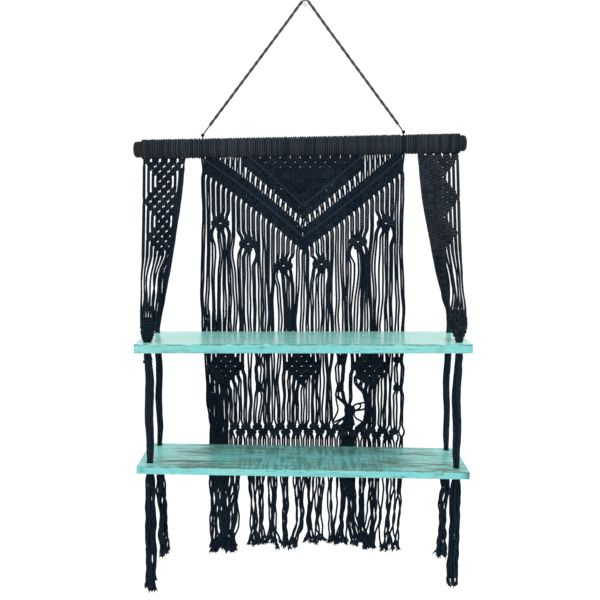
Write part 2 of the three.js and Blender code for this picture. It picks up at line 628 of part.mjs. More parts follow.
// The knotted shapes of a side panel laid flat, with the open dots between knots if they show
function sideNet(top, withDots) {
  const { columns, rows, rise } = SIDE_NET;
  const { halfWidth, halfHeight, clear } = SIDE_DOT;
  const outline = sideOutline(0);
  let net = toSolid(knotPlate({
    middle: SIDE_TOP_WIDTH / 2, top: top + rise, columns, rows, width: SIDE_KNOT_WIDTH,
    height: SIDE_KNOT_HEIGHT, thin: SIDE_PAD_THIN, thick: SIDE_PAD_THICK, flatBack: true,
  }));
  net = net.intersect(toSolid(plate(outline, CUTTER_THICK)));
  for (let r = 1; withDots && r < rows; r++) {
    for (let c = r % 2 ? 2 : 1; c < columns; c += 2) {
      const x = (c * SIDE_KNOT_WIDTH) / 2;
      const z = top + rise - (r * SIDE_KNOT_HEIGHT) / 2;
      const kept = [[-clear, 0], [clear, 0], [0, clear], [0, -clear]].every(([dx, dz]) => (
        insideOutline(x + dx, z + dz, outline)));
      if (kept) {
        const corners = [[x - halfWidth, z], [x, z - halfHeight], [x + halfWidth, z],
          [x, z + halfHeight]];
        net = net.subtract(toSolid(plate(corners, CUTTER_THICK)));
      }
    }
  }
  return net;
}

// A knotted roll of cord down to a hole, from a table of its sections. The last two are round.
function roll(rows, side, flute) {
  const rings = rows.map(({ z, inX, y, radius }, r) => {
    const x = BOARD_CENTRE_X + side * (HOLE_SPREAD - inX);
    return levelRing(x, y, z, radius, BUNDLE_SIDES, r > rows.length - 3 ? 0 : flute, r % 2);
  });
  return loft(rings);
}

function sidePanel(edges, side, withDots) {
  const middle = (edges[0].outerX + edges[0].innerX) / 2;
  const top = clothTop(middle);
  const pairs = Array.from({ length: SIDE_PAIRS }, (_, i) => sidePair(top + SIDE_NET.rise, i));
  const cutter = plate(sideOutline(SIDE_NET.inset), CUTTER_THICK);
  const loose = joined(pairs).subtract(toSolid(cutter));
  const flat = toGeometry(loose.add(sideNet(top, withDots)));
  const cloth = bent(flat, (p) => onSidePanel(edges, p.x / SIDE_TOP_WIDTH, p.y, p.z));
  const [left, right] = [middle - SIDE_TRIM.half, middle + SIDE_TRIM.half];
  const trim = [[left, clothTop(left)], [left, SIDE_TRIM.foot], [right, SIDE_TRIM.foot],
    [right, clothTop(right)]];
  const rolls = [roll(CONE, side, CONE_FLUTE), roll(BACK_ROLL, side, BACK_ROLL_FLUTE)];
  const whole = joined([cloth, ...rolls]);
  return toGeometry(whole.intersect(toSolid(plate(trim, SIDE_TRIM.thick))));
}

// Middle of a board's top at a place across
function boardTop(board, x) {
  return board.top - (x - BOARD_CENTRE_X) * board.drop;
}

function boardGeometry(board) {
  const shape = new THREE.Shape([[-1, 0], [1, 0], [1, 1], [-1, 1]].map(([side, deep]) => (
    new THREE.Vector2((side * BOARD_LENGTH) / 2, (deep - 1) * BOARD_DEPTH))));
  for (const side of [-1, 1]) {
    for (const { y, radius } of [FRONT_HOLE, BACK_HOLE]) {
      const hole = new THREE.Path();
      hole.absarc(side * HOLE_SPREAD, y - BOARD_BACK, radius, 0, 2 * Math.PI, true);
      shape.holes.push(hole);
    }
  }
  const geometry = new THREE.ExtrudeGeometry(shape, {
    depth: board.thick, bevelEnabled: false, curveSegments: HOLE_SIDES / 2,
  });
  return geometry.translate(0, 0, -board.thick);
}

// The bundle from the middle of the upper board's hole to the middle of the lower board's hole
function bundle(rows, hole, side) {
  const x = BOARD_CENTRE_X + side * HOLE_SPREAD;
  const top = UPPER_BOARD.top - MEETING_DEPTH - GAP;
  const bottom = boardTop(LOWER_BOARD, x) - MEETING_DEPTH;
  return loft(rows.map(({ way, radius, sway }) => {
    const z = THREE.MathUtils.lerp(top, bottom, way);
    const flute = way > BUNDLE_FLUTE.from ? BUNDLE_FLUTE.deep : 0;
    return levelRing(x - side * sway * BUNDLE_SWAY_IN, hole.y, z, radius, BUNDLE_SIDES, flute);
  }));
}

// A gathered head through the lower board's hole, with loose strands that hang from it
function tassel({ side, hole, end, spread, lean }) {
  const x = BOARD_CENTRE_X + side * HOLE_SPREAD;
  const top = boardTop(LOWER_BOARD, x) - MEETING_DEPTH - GAP;
  const under = boardTop(LOWER_BOARD, x) - LOWER_BOARD.thick;
  const neck = Math.min(TASSEL_NECK.radius, hole.radius - TASSEL_NECK.clear);
  const head = [[top, neck], ...TASSEL_HEAD.map(({ down, wider }) => [under - down, neck + wider]),
    [under - TASSEL_SKIRT.down, spread * TASSEL_SKIRT.share]];
  const pieces = [loft(head.map(([z, radius], r) => (
    levelRing(x, hole.y, z, radius, BUNDLE_SIDES, r > 1 ? TASSEL_SKIRT.flute : 0))))];
  for (let k = 0; k < TASSEL_STRANDS; k++) {
    const angle = (k / (TASSEL_STRANDS - 1)) * 2 * Math.PI;
    const finish = end + (k % 3) * TASSEL_FALL.uneven;
    pieces.push(loft(Array.from({ length: TASSEL_STEPS + 1 }, (_, step) => {
      const way = step / TASSEL_STEPS;
      const open = THREE.MathUtils.lerp(TASSEL_FALL.reach, 1, Math.sqrt(way));
      const reach = k ? open * spread : 0;
      const twist = angle + way * TASSEL_FALL.twist;
      const bend = lean * way + TASSEL_FALL.bend * Math.sin(way * TASSEL_FALL.bends);
      const z = THREE.MathUtils.lerp(under - TASSEL_FALL.from, finish, way);
      return levelRing(x + bend + reach * Math.cos(twist), hole.y + reach * Math.sin(twist), z,
        TASSEL_STRAND / 2, STRAND_SIDES, 0, k * TASSEL_FALL.turn);
    })));
  }
  return toGeometry(joined(pieces));
}

function nailGeometry() {
  const neck = NAIL_LENGTH - NAIL_HEAD_THICK;
  const { inward, deep } = NAIL_HEAD_BEVEL;
  const profile = [[0, 0], [NAIL_SHANK_RADIUS, 0], [NAIL_SHANK_RADIUS, neck],
    [NAIL_HEAD_RADIUS, neck], [NAIL_HEAD_RADIUS, NAIL_LENGTH - deep],
    [NAIL_HEAD_RADIUS - inward, NAIL_LENGTH], [0, NAIL_LENGTH]];
  const points = profile.map(([r, h]) => new THREE.Vector2(r, h));
  return new THREE.LatheGeometry(points, NAIL_SIDES).rotateX(Math.PI);
}

// Turned about y and laid along x, as the dowel and its wraps are
function alongDowel(profile, sides) {
  const geometry = new THREE.LatheGeometry(profile.map(([r, h]) => new THREE.Vector2(r, h)), sides);
  return geometry.rotateZ(-Math.PI / 2);
}

function dowelGeometry() {
  const half = DOWEL_LENGTH / 2;
  const round = [[0, half], ...DOWEL_END.map(({ reach, back }) => [reach * DOWEL_RADIUS, half - back])];
  const profile = [...round.map(([r, h]) => [r, -h]), ...round.toReversed()];
  return alongDowel(profile, WRAP_SIDES);
}

// A wrap's outline in radius and length, grooved between cords and flat where a tie goes round
function wrapGeometry({ from, to }) {
  const ridges = Math.round((to - from) / WRAP_PITCH);
  const pitch = (to - from) / ridges;
  const bore = DOWEL_RADIUS + GAP;
  const outer = [[WRAP_GROOVE, from]];
  for (let i = 0; i < ridges; i++) {
    const start = from + i * pitch;
    const middle = DOWEL_CENTRE.x + start + pitch / 2;
    const tied = TIES.some(({ knot }) => Math.abs(knot.x - middle) < pitch / 2 + 2 * TIE_RADIUS);
    const crest = tied ? WRAP_GROOVE : WRAP_CREST;
    outer.push([crest, start + 0.5 * pitch], [WRAP_GROOVE, start + pitch]);
  }
  const profile = [[bore, from], ...outer, [bore, to], [bore, from]];
  return alongDowel(profile, WRAP_SIDES);
}

// A ring of points across a direction, the first of them towards the wall
function ringAcross(place, direction, radius, sides) {
  const level = new THREE.Vector3(0, 1, 0).projectOnPlane(direction).normalize();
  const upright = new THREE.Vector3().crossVectors(direction, level);
  return Array.from({ length: sides }, (_, k) => {
    const angle = (k / sides) * 2 * Math.PI;
    return place.clone().addScaledVector(level, radius * Math.cos(angle))
      .addScaledVector(upright, radius * Math.sin(angle));
  });
}

// A ring of thin cord round the wrapped dowel, its knot on top and the link up to the rope's end
function tieGeometry({ knot, ropeEnd }) {
  const ring = new THREE.TorusGeometry(TIE_RING_RADIUS, TIE_RADIUS, TIE_SIDES, WRAP_SIDES);
  ring.rotateY(Math.PI / 2).rotateY(-Math.atan(DOWEL_RISE));
  ring.translate(knot.x, DOWEL_CENTRE.y, dowelAxis(knot.x));
  const ball = new THREE.OctahedronGeometry(TIE_KNOT_RADIUS, 1);
  ball.translate(knot.x, knot.y, knot.z);
  const foot = new THREE.Vector3(knot.x, knot.y, dowelAxis(knot.x) + TIE_RING_RADIUS);
  const up = new THREE.Vector3(0, 0, 1);
  const end = ROPE_ROUTE.at(ropeEnd);
  const outward = end.clone().sub(ROPE_ROUTE.at(ropeEnd ? -2 : 1)).normalize();
  const top = end.clone().addScaledVector(outward, GAP);
  const stem = [foot, knot].map((place) => ringAcross(place, up, TIE_LINK_RADIUS, TIE_LINK_SIDES));
  const link = [knot, top].map((place) => (
    ringAcross(place, outward.clone().negate(), TIE_LINK_RADIUS, TIE_LINK_SIDES)));
  return toGeometry(joined([ring, ball, loft(stem), loft(link)]));
}

// The rope's section is longer than it is wide and turns on the way, which raises its two plies
function ropeGeometry() {
  const curve = new THREE.CatmullRomCurve3(ROPE_ROUTE, false, 'centripetal');
  const length = curve.getLength();
  const rings = [];
  for (let step = 0; step <= ROPE_STEPS; step++) {
    const share = step / ROPE_STEPS;
    const place = curve.getPointAt(share);
    const tangent = curve.getTangentAt(share);
    const [longTip, shortTip] = ringAcross(new THREE.Vector3(), tangent, ROPE_DIAMETER / 2, 4);
    const turn = (share * length * Math.PI) / ROPE_RIDGE;
    rings.push(Array.from({ length: ROPE_SIDES }, (_, k) => {
      const angle = (k / ROPE_SIDES) * 2 * Math.PI;
      const long = Math.cos(angle);
      const short = Math.sin(angle) * ROPE_FLAT;
      return place.clone()
        .addScaledVector(longTip, long * Math.cos(turn) - short * Math.sin(turn))
        .addScaledVector(shortTip, long * Math.sin(turn) + short * Math.cos(turn));
    }));
  }
  return loft(rings);
}

const shelf = new THREE.Group();

function addPiece(parent, name, geometry, material) {
  const mesh = new THREE.Mesh(geometry, material);
  mesh.name = name;
  parent.add(mesh);
  return mesh;
}

addPiece(shelf, 'wall_nail', nailGeometry(), STEEL);
addPiece(shelf, 'hanging_rope', ropeGeometry(), ROPE);
for (const tie of TIES) {
  addPiece(shelf, tie.name, tieGeometry(tie), ROPE);
}

// The dowel and its wraps share one turned group
const dowelGroup = new THREE.Group();
dowelGroup.position.copy(DOWEL_CENTRE);
dowelGroup.rotation.y = -Math.atan(DOWEL_RISE);
shelf.add(dowelGroup);
addPiece(dowelGroup, 'dowel', dowelGeometry(), BLACK_WOOD);
for (const wrap of WRAPS) {
  const from = wrap.from - DOWEL_CENTRE.x;
  const to = wrap.to - DOWEL_CENTRE.x;
  addPiece(dowelGroup, wrap.name, wrapGeometry({ from, to }), CORD);
}

addPiece(shelf, 'back_panel', backPanel(), CORD);
addPiece(shelf, 'back_fringe', backFringe(), CORD);
addPiece(shelf, 'side_panel_left', sidePanel(LEFT_EDGES, -1, true), CORD);
addPiece(shelf, 'side_panel_right', sidePanel(RIGHT_EDGES, 1, false), CORD);

for (const [name, board] of [['upper_board', UPPER_BOARD], ['lower_board', LOWER_BOARD]]) {
  const mesh = addPiece(shelf, name, boardGeometry(board), PAINT);
  mesh.position.set(BOARD_CENTRE_X, BOARD_BACK, board.top);
  mesh.rotation.y = Math.atan(board.drop);
}

for (const [side, word] of [[-1, 'left'], [1, 'right']]) {
  addPiece(shelf, `bundle_front_${word}`, bundle(FRONT_BUNDLE, FRONT_HOLE, side), CORD);
  addPiece(shelf, `bundle_back_${word}`, bundle(BACK_BUNDLE, BACK_HOLE, side), CORD);
}
for (const piece of TASSELS) {
  addPiece(shelf, piece.name, tassel(piece), CORD);
}

export default shelf;
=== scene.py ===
import json
import math

import bmesh
import bpy
import numpy as np
from bpy.props import FloatProperty, FloatVectorProperty, IntProperty, PointerProperty
from bpy.types import Operator, Panel, PropertyGroup
from mathutils import Matrix, Vector

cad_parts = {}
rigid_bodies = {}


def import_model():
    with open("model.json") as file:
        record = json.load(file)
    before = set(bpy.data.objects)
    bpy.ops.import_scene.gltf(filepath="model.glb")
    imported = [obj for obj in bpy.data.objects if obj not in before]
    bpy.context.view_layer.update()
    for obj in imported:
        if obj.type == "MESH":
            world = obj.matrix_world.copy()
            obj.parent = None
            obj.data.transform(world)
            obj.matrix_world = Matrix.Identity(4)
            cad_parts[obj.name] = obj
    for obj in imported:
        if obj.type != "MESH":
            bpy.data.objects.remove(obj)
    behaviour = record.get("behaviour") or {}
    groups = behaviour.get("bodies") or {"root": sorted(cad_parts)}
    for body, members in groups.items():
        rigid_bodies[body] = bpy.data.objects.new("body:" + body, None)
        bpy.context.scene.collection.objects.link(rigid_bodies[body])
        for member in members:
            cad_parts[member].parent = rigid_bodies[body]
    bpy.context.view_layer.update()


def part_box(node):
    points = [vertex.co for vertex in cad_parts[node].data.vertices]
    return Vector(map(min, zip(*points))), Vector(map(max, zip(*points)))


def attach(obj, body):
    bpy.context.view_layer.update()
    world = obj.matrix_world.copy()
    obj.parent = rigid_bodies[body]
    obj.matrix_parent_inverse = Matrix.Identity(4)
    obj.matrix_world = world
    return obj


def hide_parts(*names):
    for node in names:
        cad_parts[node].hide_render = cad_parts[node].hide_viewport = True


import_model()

bl_info = {
    "name": "Macrame wall shelf",
    "version": (1, 0, 0),
    "blender": (4, 5, 0),
    "location": "View3D > Sidebar > Shelf",
    "description": "Builds a hanging shelf of painted boards and knotted cord, piece by piece",
    "category": "Object",
}

# Lengths in this file are millimetres, +X right, +Y into the wall, +Z up from the nail.
MM = 0.001
TURN = 2 * math.pi

# Dowel, its rise to the right and the height at which cloth leaves its wraps
DOWEL_X, DOWEL_Y, DOWEL_Z = -9.6, -19.0, -260.0
DOWEL_RISE = 0.0194
WRAP_CREST, GAP = 17.7, 0.3
# Rounded end of the dowel: share of the radius and way from the end
DOWEL_END = ((0.3, 0.0), (0.6, 0.5), (0.8, 1.4), (0.92, 3.0), (0.985, 5.0), (1.0, 7.5))
# Headings: extent along the dowel. Then the step of their turns and how far the middle of a turn
# lies from the dowel's axis, also where a tie presses on it
HEADINGS = {"left": (-306, -209.5), "back": (-209.2, 196.5), "right": (196.8, 290)}
WRAP_STEP, WRAP_REACH, PRESSED_REACH = 4.3, 16.75, 16.2
# Nail: radius and way out of the wall
NAIL_PROFILE = (
    (2.0, 0), (2.0, 13.2), (4.6, 13.35), (5.2, 13.6), (5.3, 14.2), (4.9, 14.7), (3.4, 14.95), (1.5, 15.0),
)
# Boards: depth, then middle across, back edge and top as the frame's upper board has them, and the
# lower board's top and its drop to the right
BOARD_DEPTH = 150.0
BOARD_LOW, BOARD_HIGH = (np.round(np.array(corner) / MM, 1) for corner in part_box("upper_board"))
BOARD_X = round((BOARD_LOW[0] + BOARD_HIGH[0]) / 2, 1)
BOARD_BACK, UPPER_TOP = BOARD_HIGH[1], BOARD_HIGH[2]
LOWER_TOP, LOWER_DROP = -839.6, 0.0175
HOLE_SPREAD, FRONT_HOLE_Y, BACK_HOLE_Y = 280.0, -132.0, -20.0
# Back panel: middle, pairs of cords, their step and half the step within a pair
BACK_X, BACK_PAIRS, PAIR_STEP, WITHIN_PAIR = -4.5, 41, 9.4, 2.03
# Its cords slope back from the dowel to this depth, and hang straight from this height down
BACK_REST_Y, BACK_REST_Z = -4.8, -580.0
# The two chevrons: height of the point, then slope and bend of the left and the right arm
CHEVRON_X = -4.0
CHEVRONS = ((-371.0, (0.99, -0.00075), (0.81, 0.0003)), (-431.0, (0.93, -0.00075), (0.75, 0.0003)))
# Chevron bands: reach of each to the sides, places of its rows of hitches above its line, and how far
# a band reaches above and below that line. Then a hitch's half height and half depth
CHEVRON_REACH = (112.0, 186.0)
CHEVRON_ROWS = ((-6.5, -13.5, -20.5), (13.0, 6.0, -6.5, -13.5, -20.5))
BAND_ABOVE, BAND_BELOW = 19.0, 26.0
HITCH_HIGH, HITCH_DEEP = 3.2, 3.0
# Knots of the panel's net: width and step from row to row
KNOT_WIDTH, KNOT_ROW = 2 * PAIR_STEP, 8.6
# Small diamonds: middle, and how far the pairs beside them part below
SMALL_DIAMONDS = (
    (-161, -404, 17.0), (-108.5, -443, 17.0), (-41, -485, 14.6),
    (31.5, -482, 14.6), (101, -439, 17.0), (153.5, -404, 17.0),
)
# Cords through a small diamond and beside it: height from its middle, way out and lean in the pair
SMALL_INSIDE = ((9.6, 3.0, 1.3), (0, 7.6, 1.3), (-9.6, 3.0, 1.3))
SMALL_BESIDE = ((10, 11.5, 1.3), (-3, 12.4, 1.3))
# Large diamonds: middle and width of their knots as a share
LARGE_DIAMONDS = ((-154.5, -681.5, 0.98), (-7, -681.5, 0.88), (126, -681.5, 0.98))
LARGE_ROW = 9.6
# Single knots of two pairs: middle, across and up
SINGLE_KNOTS = ((-89.5, -671), (-89.5, -723), (69, -669), (69, -723), (179, -669), (179, -725))
# Tangled knot, and the loops and loose cords about it as places across and up
TANGLE = (88.0, -770.0)
TANGLE_CORDS = (
    ((94, -768), (96, -760), (102, -756.5), (109, -757.5), (108, -764), (101, -769), (94, -771)),
    ((102, -756.5), (110, -755), (117, -753.7), (121, -757)),
    ((94, -771), (98, -770), (105, -769.5), (112, -768), (119, -766)),
    ((95, -775), (97, -780), (101, -786), (109, -790.3), (116, -796)),
    ((84, -775), (80, -780), (75, -784.6), (66, -789), (57, -793.5)),
    ((84, -777), (78, -784), (70, -790), (62, -797)),
    ((64, -720), (61.5, -731), (61.2, -748), (64.7, -767), (61, -779), (55, -791)),
)
# Knotted row: heights of its two lines of knots, their step, its first knot and its right end
ROW_UPPER, ROW_LOWER, ROW_STEP, ROW_FROM, ROW_TO = -802.0, -812.5, 22.3, -138.0, 183.0
ROW_FOOT = -828.0
# The row hangs lower from this place to the right, by this slope
DIP_FROM, DIP_SLOPE = 50.0, 0.085
# Square knot: rise of its two turns as a share of the height and their tilt, then its joining loop as
# shares across, steps out and rise as a share
KNOT_TURNS = ((0.27, 0.7), (-0.27, -0.7))
KNOT_LOOP = ((0.3, 0.9, 0.34), (0.85, 0.7, 0.25), (1.05, -0.6, 0), (0.85, 0.7, -0.25), (0.3, 0.9, -0.34))
# Sizes of the square knots that stand alone, in the row and round the right cone
KNOT_SIZES = {
    "small": {"width": 17.2, "height": 12.2, "deep": 3.2, "core": 0.7},
    "single": {"width": 15.0, "height": 12.5, "deep": 3.4},
    "row": {"width": 20.5, "height": 11.6, "deep": 3.2, "core": 0.62, "taper": 0.75},
    "cone": {"width": 10.8, "height": 7.6, "core": 0},
}
# Places of a small diamond's four knots about its middle
SMALL_KNOTS = ((0, 9.4), (-9.6, 0), (9.6, 0), (0, -9.4))
# Where cords hang closer together: place, height, reach across, share drawn in and reach up and down
BUNCHES = (
    (-150, -462, 12, 0.4, 24), (-122, -560, 8, 0.25, 80), (-98, -600, 8, 0.3, 60),
    (-69, -545, 8, 0.25, 90), (-29, -590, 15, 0.3, 50), (5, -540, 9, 0.2, 90), (47, -515, 9, 0.2, 60),
    (85, -600, 9, 0.3, 50), (117, -492, 15, 0.45, 48), (135, -600, 8, 0.3, 50), (161, -540, 9, 0.25, 70),
    (184, -560, 10, 0.2, 60), (-71, -710, 8, 0.3, 70), (47, -700, 9, 0.3, 60),
    (-22, -755, 9, 0.3, 40), (22, -750, 9, 0.3, 45), (160, -740, 8, 0.3, 50),
)
# Extra cords of the dense bundles: extent across, top, bottom and count
THICK = (
    (-196, -146, -572, -640, 8), (-197, -152, -716, ROW_FOOT, 12), (74, 96, -780, ROW_FOOT, 6),
    (114, 138, -704, ROW_FOOT, 3), (110, 124, -450, -524, 2), (-44, -18, -560, -640, 2),
)
# Line of the hanging rope, as the CAD gives it
ROPE_ROUTE = (
    (-178.8, -20.0, -222.0), (-161.8, -18.9, -199.8), (-144.7, -17.7, -177.5),
    (-127.7, -16.6, -155.2), (-110.7, -15.4, -132.9), (-93.7, -14.3, -110.7),
    (-76.7, -13.1, -88.4), (-59.7, -12.0, -66.1), (-42.7, -10.8, -43.8),
    (-25.7, -9.7, -21.2), (-8.7, -8.5, 1.6), (-4.6, -8.2, 4.9), (0.0, -8.0, 6.1),
    (4.6, -8.2, 4.9), (8.6, -8.5, 1.6), (25.3, -9.7, -21.2), (42.0, -10.8, -43.8),
    (58.8, -12.0, -66.1), (75.5, -13.1, -88.4), (92.2, -14.3, -110.7),
    (109.0, -15.4, -132.9), (125.7, -16.6, -155.2), (142.4, -17.7, -177.5),
    (159.2, -18.9, -199.8), (174.0, -20.0, -219.5),
)
TIE_KNOTS = {"left": (-191.7, -20.0, -239.4), "right": (184.0, -20.0, -233.5)}
# Edges of the side panels: height, outer edge x and y, inner edge x and y
SIDE_EDGES = {
    "left": (
        (-280, -302, -21, -223.5, -20), (-360, -301, -47, -234.5, -20),
        (-435, -300, -73, -247.5, -20), (-508, -299, -98, -261.5, -20),
        (-575, -296, -120, -268.5, -20), (-612, -291, -132, -274.5, -20),
    ),
    "right": (
        (-270, 285.5, -21, 210, -20), (-360, 285.8, -51, 222, -20),
        (-435, 286, -74, 237.5, -20), (-508, 288, -98, 254, -20),
        (-575, 289.5, -120, 268, -20), (-612, 284, -132, 273, -20),
    ),
}
# Net of a side panel: knots in each row, height of the first row, step down and nominal width
SIDE_COUNTS = (5, 4, 3, 2, 1, 2, 3, 4, 5, 4, 3, 2, 1, 2, 3, 4, 3, 2, 1)
SIDE_FIRST, SIDE_ROW, SIDE_WIDTH = -288.0, 9.3, 80.0
SIDE_FOOT = -462.0
# Cords of a side panel: count and thickness as a share of a cord, less inside the net and below it
SIDE_CORDS, SIDE_CORD, SIDE_TIGHT, SIDE_FREE = 20, 0.94, 0.62, 0.86
# How the two side panels differ: middle is where the cloth leaves the dowel, rise how far its net is
# lifted, narrow what a knot's width loses from row to row, edge the dense band of cords on the inner
# edge, and cone the body of cords over the front hole, which they start to join at cone_from
SIDE_LOOKS = {
    "left": {
        "sign": -1, "middle": -262.5, "rise": 0, "finish": "cord", "cord_tones": (0.1, 0.7),
        "knot_tones": (0.15, 0.9), "more_knots": 0, "knot_width": 0.84, "narrow": 0.012,
        "edge_count": 8, "edge_top": -300, "edge_step": 0.014, "cone_from": -527, "cone_top": -572,
    },
    # The right panel's grey finish and higher tones are painted light: it is drawn lighter than the left
    # panel because it is lit from the upper right
    "right": {
        "sign": 1, "middle": 247.5, "rise": 8, "finish": "grey", "cord_tones": (0.3, 1.0),
        "knot_tones": (0.4, 1.2), "more_knots": 4, "knot_width": 1.0, "narrow": 0.0,
        "edge_count": 18, "edge_top": -276, "edge_step": 0.027, "cone_from": -520, "cone_top": -564,
    },
}
# Places of a side panel's cords that run on to the cone, two cords deep: shares across at two
# heights below the net
SIDE_FEET = {
    "left": ((0.02, 0.02), (0.11, 0.12), (0.2, 0.21), (0.35, 0.34), (0.45, 0.55), (0.53, 0.44), (0.62, 0.65)),
    "right": ((0.05, 0.04), (0.14, 0.14), (0.24, 0.24), (0.38, 0.36), (0.46, 0.44)),
}
# Cone over a front hole: height, depth, and radius on the left and on the right
CONE = (
    (-554, -111, 9.5, 11.0), (-562, -114, 13.2, 14.5), (-575, -120, 14.2, 16.4), (-588, -125, 14.0, 15.2),
    (-596, -128, 12.8, 12.4), (-602, -130, 11.2, 9.4), (-607.5, -131, 9.2, 7.2), (-611.8, -132, 6.4, 5.6),
    (-614, -132, 5.9, 5.9), (-619.5, -132, 5.9, 5.9),
)
# Where the front cords of a side panel meet the cone: depth, radius, reach across and depth as a
# share of it. Then how far the back cords stand from the middle of a back hole
MOUTH_Y, MOUTH_RADIUS, MOUTH_ACROSS, MOUTH_DEEP = -116, 13.6, 13.2, 0.9
BACK_HOLE_REACH = 3.4
# Bundles: share of the way down, radius and sway
FRONT_BUNDLE = (
    (0, 6, 0), (0.045, 6, 0), (0.085, 7.4, 0), (0.12, 6.6, 1), (0.25, 7.6, 2.5),
    (0.55, 7.9, 3), (0.8, 7, 1.5), (0.96, 5.6, 0), (1, 5.6, 0),
)
BACK_BUNDLE = (
    (0, 5.3, 0), (0.045, 5.3, 0), (0.09, 6.5, 0), (0.2, 6.3, 1.5), (0.5, 6.6, 3),
    (0.8, 5.9, 2), (0.96, 4.9, 0), (1, 4.9, 0),
)
# Fringe clumps: extent at the row, under the lower board, where they gather and at the ends, and
# the height of the ends
FRINGE = (
    ((-205, -122), (-190, -128), (-188, -132), (-189, -137), -1054),
    ((-122, -78), (-109, -81), (-103, -88), (-113, -79), -1041),
    ((-78, -50), (-74, -55), (-70, -57), (-77, -50), -1045),
    ((-50, -30), (-46, -33), (-43, -36), (-44, -35), -1046),
    ((-30, -1), (-23, 2), (-16, -4), (-32, -14), -1047),
    ((-1, 43), (-1, 39), (4, 30), (-2, 40), -1040),
    ((43, 57), (46, 56), (46, 55), (46, 58), -1042),
    ((57, 84), (66, 84), (64, 80), (55, 84), -1041),
    ((84, 104), (84, 99), (90, 100), (92, 113), -1041),
    ((104, 121), (109, 118), (108, 116), (116, 125), -1046),
    ((121, 150), (129, 146), (128, 142), (117, 140), -1048),
    ((150, 200), (155, 194), (152, 190), (149, 188), -1053),
)
# Tassels: side and depth of the hole, then end, spread and lean
TASSELS = {
    "front_left": (-1, FRONT_HOLE_Y, -1073, 9.5, -2), "back_left": (-1, BACK_HOLE_Y, -1061, 7.5, 5),
    "front_right": (1, FRONT_HOLE_Y, -1066, 10, -3), "back_right": (1, BACK_HOLE_Y, -1059, 7.5, -6),
}
# Room, in metres: camera as fitted to the boards' corners, lights, floor and the white world
CAMERA_PLACE, CAMERA_LENS, CAMERA_SENSOR, CAMERA_DOWN = (-0.00963, -1.692, -0.3456), 52.8, 36, 6.97
CAMERA_REACH = 60
LIGHTS = (("key", (1.5, -2.2, 1.3), 1.4, 26), ("fill", (-1.8, -2.0, 0.2), 1.8, 9))
LIGHT_AIM = (0, 0, -0.55)
FLOOR_LEVEL, FLOOR_REACH = -1.5, 14.0
WORLD_LIGHT = 1.06


class ShelfSizes(PropertyGroup):
    cord_radius: FloatProperty(
        name="Cord radius", description="Radius of one macrame cord", default=0.00208,
        min=0.0005, unit="LENGTH", precision=5)
    rope_diameter: FloatProperty(
        name="Rope diameter", description="Width of the two-ply hanging rope", default=0.0056,
        min=0.002, unit="LENGTH", precision=4)
    dowel_radius: FloatProperty(
        name="Dowel radius", description="Radius of the bare dowel", default=0.015, min=0.005,
        unit="LENGTH", precision=4)
    dowel_length: FloatProperty(
        name="Dowel length", description="Length of the dowel from end to end", default=0.624,
        min=0.1, unit="LENGTH")
    board_edge: FloatProperty(
        name="Board edge", description="Width of the boards' rounded edges", default=0.0012,
        min=0.0001, unit="LENGTH", precision=4)
    seed: IntProperty(
        name="Seed", description="Start of the small random bends of the cords", default=7, min=0)


def colour_property(name, description, default):
    return FloatVectorProperty(
        name=name, description=description, default=default, size=3, min=0, max=1, subtype="COLOR")


class ShelfColours(PropertyGroup):
    cord_shade: colour_property("Cord shade", "Dark blue-black of the cord", (0.0009, 0.0056, 0.0132))
    cord_light: colour_property("Cord light", "Greyer fibres of the cord", (0.026, 0.041, 0.060))
    # Painted light: lighter grey fibres for the same cord where it is lit, on the headings at the top and on
    # the right side panel
    cord_lit_grey: colour_property("Grey cord", "Light fibres of the greyer cords", (0.046, 0.056, 0.066))
    rope_shade: colour_property("Rope shade", "Dark grey of the rope", (0.03, 0.029, 0.032))
    rope_light: colour_property("Rope light", "Pale fibres of the rope", (0.13, 0.125, 0.13))
    paint: colour_property("Paint", "Turquoise paint of the boards", (0.14, 0.50, 0.49))
    # This pale colour also serves as the painted highlight and painted reflection on the boards' tops
    pale_paint_and_highlight: colour_property("Pale paint", "Thin mint paint", (0.36, 0.82, 0.72))
    worn_wood: colour_property("Worn wood", "Grey-brown wood under the paint", (0.08, 0.12, 0.095))
    saw_mark: colour_property("Saw mark", "Darker paint in the saw marks", (0.045, 0.2, 0.19))
    smudge: colour_property("Smudge", "Dark blue rubbed stains", (0.025, 0.06, 0.075))
    crack: colour_property("Crack", "Dark cracks in the wood", (0.03, 0.035, 0.03))
    dowel: colour_property("Dowel", "Dark stain of the dowel", (0.006, 0.006, 0.007))
    steel: colour_property("Steel", "Nail", (0.72, 0.71, 0.69))
    floor: colour_property("Floor", "Plain pale floor", (1.0, 1.0, 1.0))


class Socket:
    """A shader socket that takes part in Python sums."""

    def __init__(self, finish, socket):
        self.finish = finish
        self.socket = socket

    def maths(self, operation, *values):
        return self.finish.node("ShaderNodeMath", {"operation": operation}, dict(enumerate(values)))

    def __add__(self, other):
        return self.maths("ADD", self, other)

    def __radd__(self, other):
        return self.maths("ADD", other, self)

    def __sub__(self, other):
        return self.maths("SUBTRACT", self, other)

    def __rsub__(self, other):
        return self.maths("SUBTRACT", other, self)

    def __mul__(self, other):
        return self.maths("MULTIPLY", self, other)

    def __rmul__(self, other):
        return self.maths("MULTIPLY", other, self)

    def __truediv__(self, other):
        return self.maths("DIVIDE", self, other)

    def __rtruediv__(self, other):
        return self.maths("DIVIDE", other, self)

    def sine(self):
        return self.maths("SINE", self)

    def root(self):
        return self.maths("SQRT", self)

    def size(self):
        return self.maths("ABSOLUTE", self)

    def smallest(self, other):
        return self.maths("MINIMUM", self, other)

    def largest(self, other):
        return self.maths("MAXIMUM", self, other)

    def between(self, low, high):
        """0 below low, 1 above high and smooth between them."""
        return self.finish.node(
            "ShaderNodeMapRange", {"interpolation_type": "SMOOTHSTEP"},
            {"Value": self, "From Min": low, "From Max": high})


